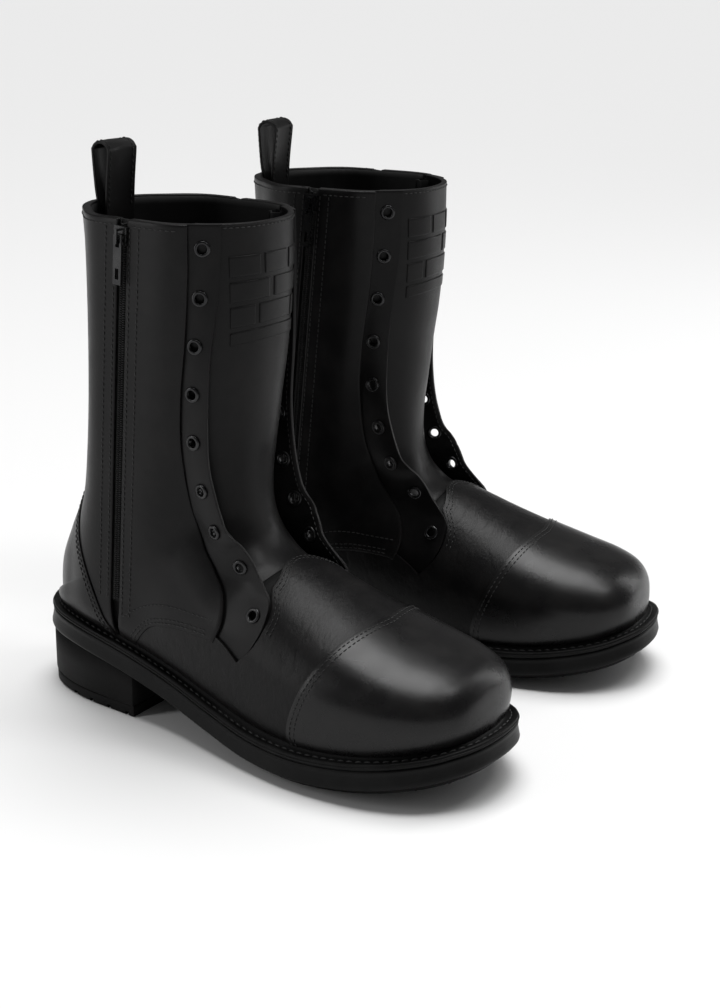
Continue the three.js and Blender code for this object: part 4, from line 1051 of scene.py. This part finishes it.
@dataclass
class Tongue:
    """The wide tongue, with plain raised bars near its top."""

    finishes: Finishes
    placer: Placer
    depth: float = -1.9

    def build(self) -> None:
        """Builds the tongue and its raised bars."""
        us = np.linspace(THROAT - 0.1, TOP - 0.01, 150)
        reach = tongue_reach(us)
        t = np.linspace(-1, 1, 61)[None]
        grid = np.stack([np.broadcast_to(us[:, None], (150, 61)), reach[:, None] * t], axis=-1)
        d = self.depth
        crown = lambda u, a: d + 1.4 * (1 - fade(np.abs(a) / 0.8)) * fade((u - 14) / 6)
        fold = np.stack([np.broadcast_to(np.linspace(21.88, TOP - 0.005, 5)[:, None], (5, 61)),
                         np.broadcast_to(t * (reach[-1] - 0.03), (5, 61))], axis=-1)
        solid = shell([grid], lambda u, a: crown(u, a) - 2.2, crown).joined(
            shell([fold], lambda u, a: crown(u, a) - 3.2, lambda u, a: crown(u, a) + 0.15))
        self.placer.place("fine_tongue", solid, self.finishes.tongue, ("tongue",), 0.6,
                          slot="tongue_leather")
        self._bars(crown)
        a = np.linspace(-0.95, 0.95, 300) * reach[-1]
        path = place_path(np.stack([np.full(300, TOP - 0.14), a], axis=1), 0)
        up = crown(np.full(300, TOP - 0.14), a)
        self.placer.place("tongue_stitches", stitches((path[0] + path[1] * up[:, None], path[1])),
                          self.finishes.thread, slot="tongue_leather")

    def _bars(self, crown: Callable[[Array, Array], Array]) -> None:
        parts = []
        layout = (((-0.6, -0.22), (-0.16, 0.14), (0.2, 0.6)), ((-0.6, 0.02), (0.08, 0.6)),
                  ((-0.6, -0.34), (-0.28, 0.22), (0.28, 0.6)), ((-0.6, 0.6),))
        heights = ((20.86, 21.28), (20.34, 20.76), (19.8, 20.24), (19.42, 19.7))
        for row, (low, high) in zip(layout, heights):
            for left, right in row:
                k = np.linspace(0, 1, 9)[:, None]
                across = mix(left, right, np.linspace(0, 1, 25))[None]
                grid = np.stack([np.broadcast_to(mix(low, high, k), (9, 25)),
                                 np.broadcast_to(across, (9, 25))], axis=-1)
                parts.append(shell([grid], lambda u, a: crown(u, a) - 0.5, lambda u, a: crown(u, a) + 0.6))
        self.placer.place("tongue_bars", union(parts), self.finishes.tongue, bevel=0.6,
                          slot="tongue_leather")


# ------------------------------------------------------------------ zips and loop
@dataclass
class Zips:
    """The two straight zips of each boot."""

    finishes: Finishes
    placer: Placer

    def build(self) -> None:
        """Builds tapes and coils and finishes the sliders and pulls."""
        for inner in BOTH:
            self._one(inner, "inner" if inner else "outer")
        for side in Side:
            for name in ("outer", "inner"):
                for part in ("slider", "pull"):
                    node = bpy.data.objects[f"{side.value}_{name}_{part}"]
                    mod = node.modifiers.new("edges", "BEVEL")
                    mod.width, mod.segments, mod.limit_method = 0.00025, 2, "ANGLE"
                    node.data.materials.clear()
                    node.data.materials.append(self.finishes.metal.material)

    @staticmethod
    def frame(inner: bool) -> tuple[Array, Array, Array, Array, float, float]:
        """The zip's origin, its across, along and outward directions, and its two ends."""
        def at(z: float, off: float) -> Array:
            place = Loft.from_side(zip_at(z, off)[None], inner)
            return Loft.point(place[:, 0], place[:, 1])[0]

        low, high = at(80, 0), at(250, 0)
        along = (high - low) / np.linalg.norm(high - low)
        across = at(165, 3) - at(165, -3)
        out = np.cross(across, along)
        out = out / np.linalg.norm(out)
        if out[1] * (-1 if inner else 1) < 0:
            out = -out
        x = np.cross(along, out)
        reach = lambda z: (z * STRETCH_Z + SEAT - low[2]) / along[2]
        return low, x, along, out, float(reach(280)), float(reach(46))

    def _one(self, inner: bool, name: str) -> None:
        o, x, y, z, top, bottom = self.frame(inner)
        ys = np.linspace(bottom + 2, top - 0.5, 60)
        xs = np.array([-8.5, -4, -2.2, 0, 2.2, 4, 8.5])
        p = o + ys[:, None, None] * y + xs[None, :, None] * x
        tape = thick((p - z * 1.5).reshape(-1, 3), (p - z * 0.4).reshape(-1, 3), grid_faces(60, 7))
        self.placer.place(f"fine_{name}_tape", tape, self.finishes.tape, (f"{name}_zip",),
                          slot="zip_textile")
        pitch = 1.35
        k = np.arange(bottom + 4, top - 3, pitch)
        rows = []
        for sign, shift in ((1, 0.0), (-1, pitch / 2)):
            c = o + (k + shift)[:, None] * y + sign * 1.0 * x + 0.35 * z
            d = np.broadcast_to((x * sign + y * 0.22) / 1.024, c.shape)
            rows.append(beads(c, d, np.broadcast_to(z, c.shape), 2.6, 0.52))
        cords = [tube(o + ys[:, None] * y + side * 2.25 * x + 0.1 * z, 0.42, 6) for side in (1, -1)]
        self.placer.place(f"{name}_coil", union(rows + cords), self.finishes.coil, slot="zip_textile")


@dataclass
class Loop:
    """The folded strap at the back of the collar."""

    finishes: Finishes
    placer: Placer

    def build(self) -> None:
        """Builds the strap and its stitches."""
        back, half, reach = 18.0, 50.5, 0.52 * 128
        t, width, height = 1.7, 24.0, 34.0
        outer, inner = back + 2.7, back + 1.2 + 4 + 1.2 + 1.5 + 1.2
        mid, radius = (outer + inner) / 2, (inner - outer) / 2
        crown = COLLAR_HEIGHT + height - radius - 3
        path = [[outer + 0.8, 286], [outer, 298], [outer - 1.5, 308], [outer - 3, crown]]
        for k in np.linspace(0, 1, 9)[1:-1]:
            path.append([mid + 0.5 - (radius + 3.5) * math.cos(math.pi * k),
                         crown + (radius + 3) * math.sin(math.pi * k)])
        path += [[inner + 4, crown], [inner + 2, 308], [inner + 0.8, 286]]
        line = smooth_path(path)(np.linspace(0, 1, 90))
        d = np.gradient(line, axis=0)
        n = np.stack([d[:, 1], -d[:, 0]], axis=1)
        n /= np.linalg.norm(n, axis=1, keepdims=True)
        w = np.linspace(-width / 2, width / 2, 21)
        bow = reach * (1 - np.sqrt(1 - (w / half) ** 2))

        def sheet(depth: float, ws: Array, bows: Array) -> Array:
            q = line + n * depth
            return np.stack([q[:, None, 0] + bows[None], np.broadcast_to(ws[None], (90, len(ws))),
                             np.broadcast_to(q[:, 1:], (90, len(ws)))], axis=-1)

        solid = thick(sheet(t, w, bow).reshape(-1, 3), sheet(0, w, bow).reshape(-1, 3), grid_faces(90, 21))
        self.placer.place("fine_pull_loop", solid, self.finishes.strap, ("pull_loop",), 0.4,
                          slot="strap_leather")
        rows = []
        out = np.stack([-n[:, 0], np.zeros(90), -n[:, 1]], axis=1)
        for edge in (-1, 1):
            ws = np.array([edge * (width / 2 - 2.4)])
            q = sheet(0, ws, reach * (1 - np.sqrt(1 - (ws / half) ** 2)))[:, 0]
            rows.append(stitches((q[8:-8], out[8:-8])))
        self.placer.place("loop_stitches", union(rows), self.finishes.thread, slot="strap_leather")


# ------------------------------------------------------------------ the sole
@dataclass
class Sole:
    """Welt, outsole, heel and tread."""

    finishes: Finishes
    placer: Placer
    outline: Outline = field(default_factory=Outline)
    count: int = 240

    def build(self) -> None:
        """Builds every rubber piece."""
        self._welt()
        self._outsole()
        self._heel()
        self._tread()

    def _swept(self, profile: list[tuple[float, float]], capped: bool) -> Solid:
        """A profile of (offset, drop below the upper's edge) carried round the outline."""
        n, m = self.count, len(profile)
        points = []
        for off, drop in profile:
            p = self.outline.at(off, n)
            points.append(np.stack([p[:, 0], p[:, 1], seat_at(p[:, 0]) - drop], axis=1))
        v = np.stack(points, axis=1).reshape(-1, 3)
        faces = []
        for k in range(n):
            q = (k + 1) % n
            for j in range(m if not capped else m - 1):
                i = (j + 1) % m
                faces.append((k * m + j, k * m + i, q * m + i, q * m + j))
        if capped:
            for j in (0, m - 1):
                for k in range(n // 2):
                    a, b = k * m + j, (k + 1) * m + j
                    c, d = ((n - k - 1) % n) * m + j, ((n - k) % n) * m + j
                    face = [i for i in dict.fromkeys((a, b, c, d))]
                    if len(face) > 2:
                        faces.append(tuple(face))
        return Solid(v, faces)

    def _welt(self) -> None:
        t = WELT_TOP
        profile = [(-4, t), (-1.6, t - 1.6), (-0.2, t - 2.4), (1.1, t - 2.5), (2.0, t - 1.9), (2.6, t - 0.7),
                   (3.4, t - 0.2), (4.6, t + 0.35), (6.0, t + 0.35), (7.0, t - 0.05), (8.6, t),
                   (9.2, t + 0.4), (9.4, t + 1.2), (9.3, t + 2.9), (8.8, t + WELT + 0.3),
                   (-4, t + WELT + 0.3)]
        self.placer.place("fine_welt", self._swept(profile, False), self.finishes.welt, ("welt",),
                          slot="welt_rubber")
        p = self.outline.at(5.3, 720)
        path = np.stack([p[:, 0], p[:, 1], seat_at(p[:, 0]) - t - 0.3], axis=1)
        path = np.concatenate([path, path[:1]])
        up = np.broadcast_to([0.0, 0, 1.0], path.shape)
        self.placer.place("welt_stitches", stitches((path, up), 5.2, 4.2, 0.62), self.finishes.thread,
                          slot="welt_rubber")
        ribs = self.outline.at(9.45, 480)
        path = np.stack([ribs[:, 0], ribs[:, 1], seat_at(ribs[:, 0]) - t - 2.0], axis=1)
        self.placer.place("welt_bead", tube(path, 0.55, 8, closed=True), self.finishes.edge,
                          slot="welt_rubber")

    def _outsole(self) -> None:
        a, b = SOLE_TOP - 0.4, SOLE_BOTTOM
        profile = [(-4, a), (8.4, a), (9.1, a + 0.3), (9.6, a + 1.2), (9.3, a + 2.2), (9.5, a + 4),
                   (10.3, b - 3.4), (10.7, b - 1.6), (10.5, b - 0.5), (9.8, b), (-4, b)]
        self.placer.place("fine_outsole", self._swept(profile, True), self.finishes.edge, ("outsole",),
                          slot="sole_rubber")

    def _block(self, off: float, low: Callable, high: Callable, keep: Callable, close_f: float,
               bevel_rows: list[tuple[float, float]]) -> Solid:
        """An upright block under part of the outline, cut off square at close_f."""
        dense = self.outline.at(off, 720)
        inside = keep(dense[:, 0])
        idx = np.nonzero(inside)[0]
        jump = np.nonzero(np.diff(idx) > 1)[0]
        if len(jump):
            idx = np.concatenate([idx[jump[0] + 1:], idx[:jump[0] + 1]])
        loop = dense[idx]
        end_a, end_b = loop[0] * [0, 1] + [close_f, 0], loop[-1] * [0, 1] + [close_f, 0]
        straight_edge = np.array([mix(end_b, end_a, t) for t in np.linspace(0, 1, 12)])
        loop = np.concatenate([loop, straight_edge])
        centre = loop.mean(axis=0)
        rows = []
        for shrink, level in bevel_rows:
            d = loop - centre
            p = loop - shrink * d / np.maximum(np.linalg.norm(d, axis=1, keepdims=True), 1e-9)
            rows.append(np.stack([p[:, 0], p[:, 1], mix(low(p[:, 0]), high(p[:, 0]), level)], axis=1))
        n, m = len(loop), len(rows)
        v = np.stack(rows, axis=1).reshape(-1, 3)
        faces = [(k * m + j, k * m + j + 1, ((k + 1) % n) * m + j + 1, ((k + 1) % n) * m + j)
                 for k in range(n) for j in range(m - 1)]
        faces += [tuple(k * m for k in range(n)), tuple(k * m + m - 1 for k in range(n))[::-1]]
        return Solid(v, faces)

    def _heel(self) -> None:
        top = lambda f: seat_at(np.minimum(f, HEEL_FRONT)) - SOLE_BOTTOM + 0.2
        floor = lambda f: np.full_like(f, HEEL_LIFT + 0.25)
        solid = self._block(9.2, floor, top, lambda f: f < HEEL_FRONT, HEEL_FRONT,
                            [(0.8, 0.0), (0.1, 0.03), (0.0, 0.5), (0.0, 1.0)])
        self.placer.place("fine_heel_block", solid, self.finishes.rubber, ("heel_block",),
                          slot="sole_rubber")
        zero = lambda f: np.zeros_like(f)
        lift = lambda f: np.full_like(f, HEEL_LIFT)
        solid = self._block(8.6, zero, lift, lambda f: f < HEEL_FRONT, HEEL_FRONT,
                            [(1.0, 0.0), (0.1, 0.12), (0.0, 0.9), (0.7, 1.0)])
        cuts = []
        for f in np.arange(0, 62, 15.0):
            for w in (-1, 1):
                cuts.append(self._box(f, f + 3.0, w * 44 - 8, w * 44 + 8, -1, 2.4))
        for w in (-18, 0, 18):
            cuts.append(self._box(-30, -16, w - 1.5, w + 1.5, -1, 2.4))
        self.placer.place("fine_heel_lift", solid, self.finishes.rubber, ("heel_lift",), 0.25,
                          slot="sole_rubber", cut=union(cuts))

    @staticmethod
    def _box(f0: float, f1: float, w0: float, w1: float, z0: float, z1: float) -> Solid:
        v = np.array([[f, w, z] for f in (f0, f1) for w in (w0, w1) for z in (z0, z1)], dtype=float)
        faces = [(0, 1, 3, 2), (4, 6, 7, 5), (0, 4, 5, 1), (2, 3, 7, 6), (0, 2, 6, 4), (1, 5, 7, 3)]
        return Solid(v, faces)

    def _tread(self) -> None:
        high = lambda f: seat_at(f) - SOLE_BOTTOM + 0.2
        low = lambda f: seat_at(f) - SOLE_BOTTOM - 3.8
        solid = self._block(5.0, low, high, lambda f: f > 114, 114,
                            [(0.6, 0.0), (0.0, 0.25), (0.0, 1.0)])
        grown = self.outline.at(1.5, 720)
        lugs = []
        for row, f in enumerate(np.arange(117, 278, 13.5)):
            near = grown[np.abs(grown[:, 0] - f - 5.5) < 7]
            if not len(near):
                continue
            middle = near[:, 1].mean()
            reach_out = near[near[:, 1] > middle, 1].min()
            reach_in = near[near[:, 1] < middle, 1].max()
            cuts = np.linspace(reach_in, reach_out, 5 + row % 2)
            for a, b in zip(cuts[:-1], cuts[1:]):
                z1 = float(seat_at(np.array(f + 5.5)) - SOLE_BOTTOM - 3.4)
                z0 = float(seat_at(np.array(f + 5.5)) - SOLE_BOTTOM - LUG + 0.2)
                lugs.append(self._box(f, f + 11.0, a + 1.2, b - 1.2, max(z0, 0.0), z1))
        self.placer.place("fine_tread", solid, self.finishes.rubber, ("tread",), slot="sole_rubber")
        self.placer.place("tread_lugs", union(lugs), self.finishes.rubber, bevel=0.7,
                          slot="sole_rubber", flat=True)


# ------------------------------------------------------------------ hidden pieces and the studio
@dataclass
class Insides:
    """Stiffeners, insole, sock liner and shank, which keep their CAD shapes."""

    finishes: Finishes

    def build(self) -> None:
        """Gives each piece its finish."""
        wanted = {"toe_stiffener": self.finishes.board, "counter_stiffener": self.finishes.board,
                  "insole": self.finishes.board, "sock_liner": self.finishes.lining,
                  "shank": self.finishes.steel}
        for side in Side:
            for name, finish in wanted.items():
                node = bpy.data.objects[f"{side.value}_{name}"]
                node.data.materials.clear()
                node.data.materials.append(finish.material)


@dataclass
class Studio:
    """Floor, light and camera."""

    location: tuple[float, float, float] = (-0.8774, -0.4761, 0.4463)
    yaw: float = 1.0785
    pitch: float = -0.3216
    roll: float = 0.0165
    lens: float = 61.0

    def build(self) -> None:
        """Builds the stage."""
        self._floor()
        self._world()
        self._lamps()
        self._camera()

    def _floor(self) -> None:
        bpy.ops.mesh.primitive_plane_add(size=80)
        floor = bpy.context.object
        floor.name = "floor"
        n = Nodes("floor")
        n.set(n.shader.inputs["Base Color"], (0.76, 0.76, 0.76, 1))
        n.set(n.shader.inputs["Roughness"], 0.9)
        n.set(n.shader.inputs["Specular IOR Level"], 0.1)
        floor.data.materials.append(n.material)

    def _world(self) -> None:
        world = bpy.data.worlds.new("studio")
        bpy.context.scene.world = world
        world.use_nodes = True
        back = world.node_tree.nodes["Background"]
        back.inputs[0].default_value = (1, 1, 1, 1)
        back.inputs[1].default_value = 0.14

    def _lamps(self) -> None:
        def area(name: str, at: tuple, to: tuple, size: tuple, power: float) -> None:
            lamp = bpy.data.lights.new(name, "AREA")
            lamp.shape, lamp.size, lamp.size_y, lamp.energy = "RECTANGLE", size[0], size[1], power
            ob = bpy.data.objects.new(name, lamp)
            bpy.context.scene.collection.objects.link(ob)
            d = Vector(to) - Vector(at)
            ob.matrix_world = Matrix.Translation(at) @ d.to_track_quat("-Z", "Y").to_matrix().to_4x4()

        sun = bpy.data.lights.new("key", "SUN")
        sun.energy, sun.angle = 3.1, math.radians(38)
        ob = bpy.data.objects.new("key", sun)
        bpy.context.scene.collection.objects.link(ob)
        ob.matrix_world = Vector((-0.14, -0.05, -1.0)).to_track_quat("-Z", "Y").to_matrix().to_4x4()
        area("top", (0.22, -0.72, 1.3), (0, -0.1, 0.1), (0.3, 0.4), 4)
        area("back", (-1.3, 1.1, 0.7), (0, 0, 0.15), (0.35, 1.3), 7)
        area("far", (1.4, -0.9, 0.7), (0, 0, 0.15), (0.3, 1.2), 5)

    def _camera(self) -> None:
        cam = bpy.data.cameras.new("camera")
        cam.lens, cam.sensor_width, cam.sensor_fit = self.lens, 36.0, "AUTO"
        ob = bpy.data.objects.new("camera", cam)
        bpy.context.scene.collection.objects.link(ob)
        d = Vector((math.sin(self.yaw) * math.cos(self.pitch), math.cos(self.yaw) * math.cos(self.pitch),
                    math.sin(self.pitch)))
        r = d.cross(Vector((0, 0, 1))).normalized()
        u = r.cross(d)
        r2 = r * math.cos(self.roll) + u * math.sin(self.roll)
        u2 = u * math.cos(self.roll) - r * math.sin(self.roll)
        m = Matrix((r2, u2, -d)).transposed().to_4x4()
        ob.matrix_world = Matrix.Translation(self.location) @ m
        bpy.context.scene.camera = ob


def main() -> None:
    """Builds the pair and its studio."""
    logging.basicConfig(level=logging.INFO, format="%(message)s")
    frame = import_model()
    scene = bpy.context.scene
    scene.view_settings.view_transform = "Standard"
    finishes, placer = Finishes(), Placer()
    Foot(finishes, placer).build()
    Shaft(finishes, placer).build()
    Facings(finishes, placer).build()
    Tongue(finishes, placer).build()
    Zips(finishes, placer).build()
    Loop(finishes, placer).build()
    Sole(finishes, placer).build()
    Insides(finishes).build()
    Studio().build()
    LOG.info("%d CAD nodes, %d fine pieces", len(frame["nodes"]), len(placer.made))


if __name__ == "__main__":
    main()
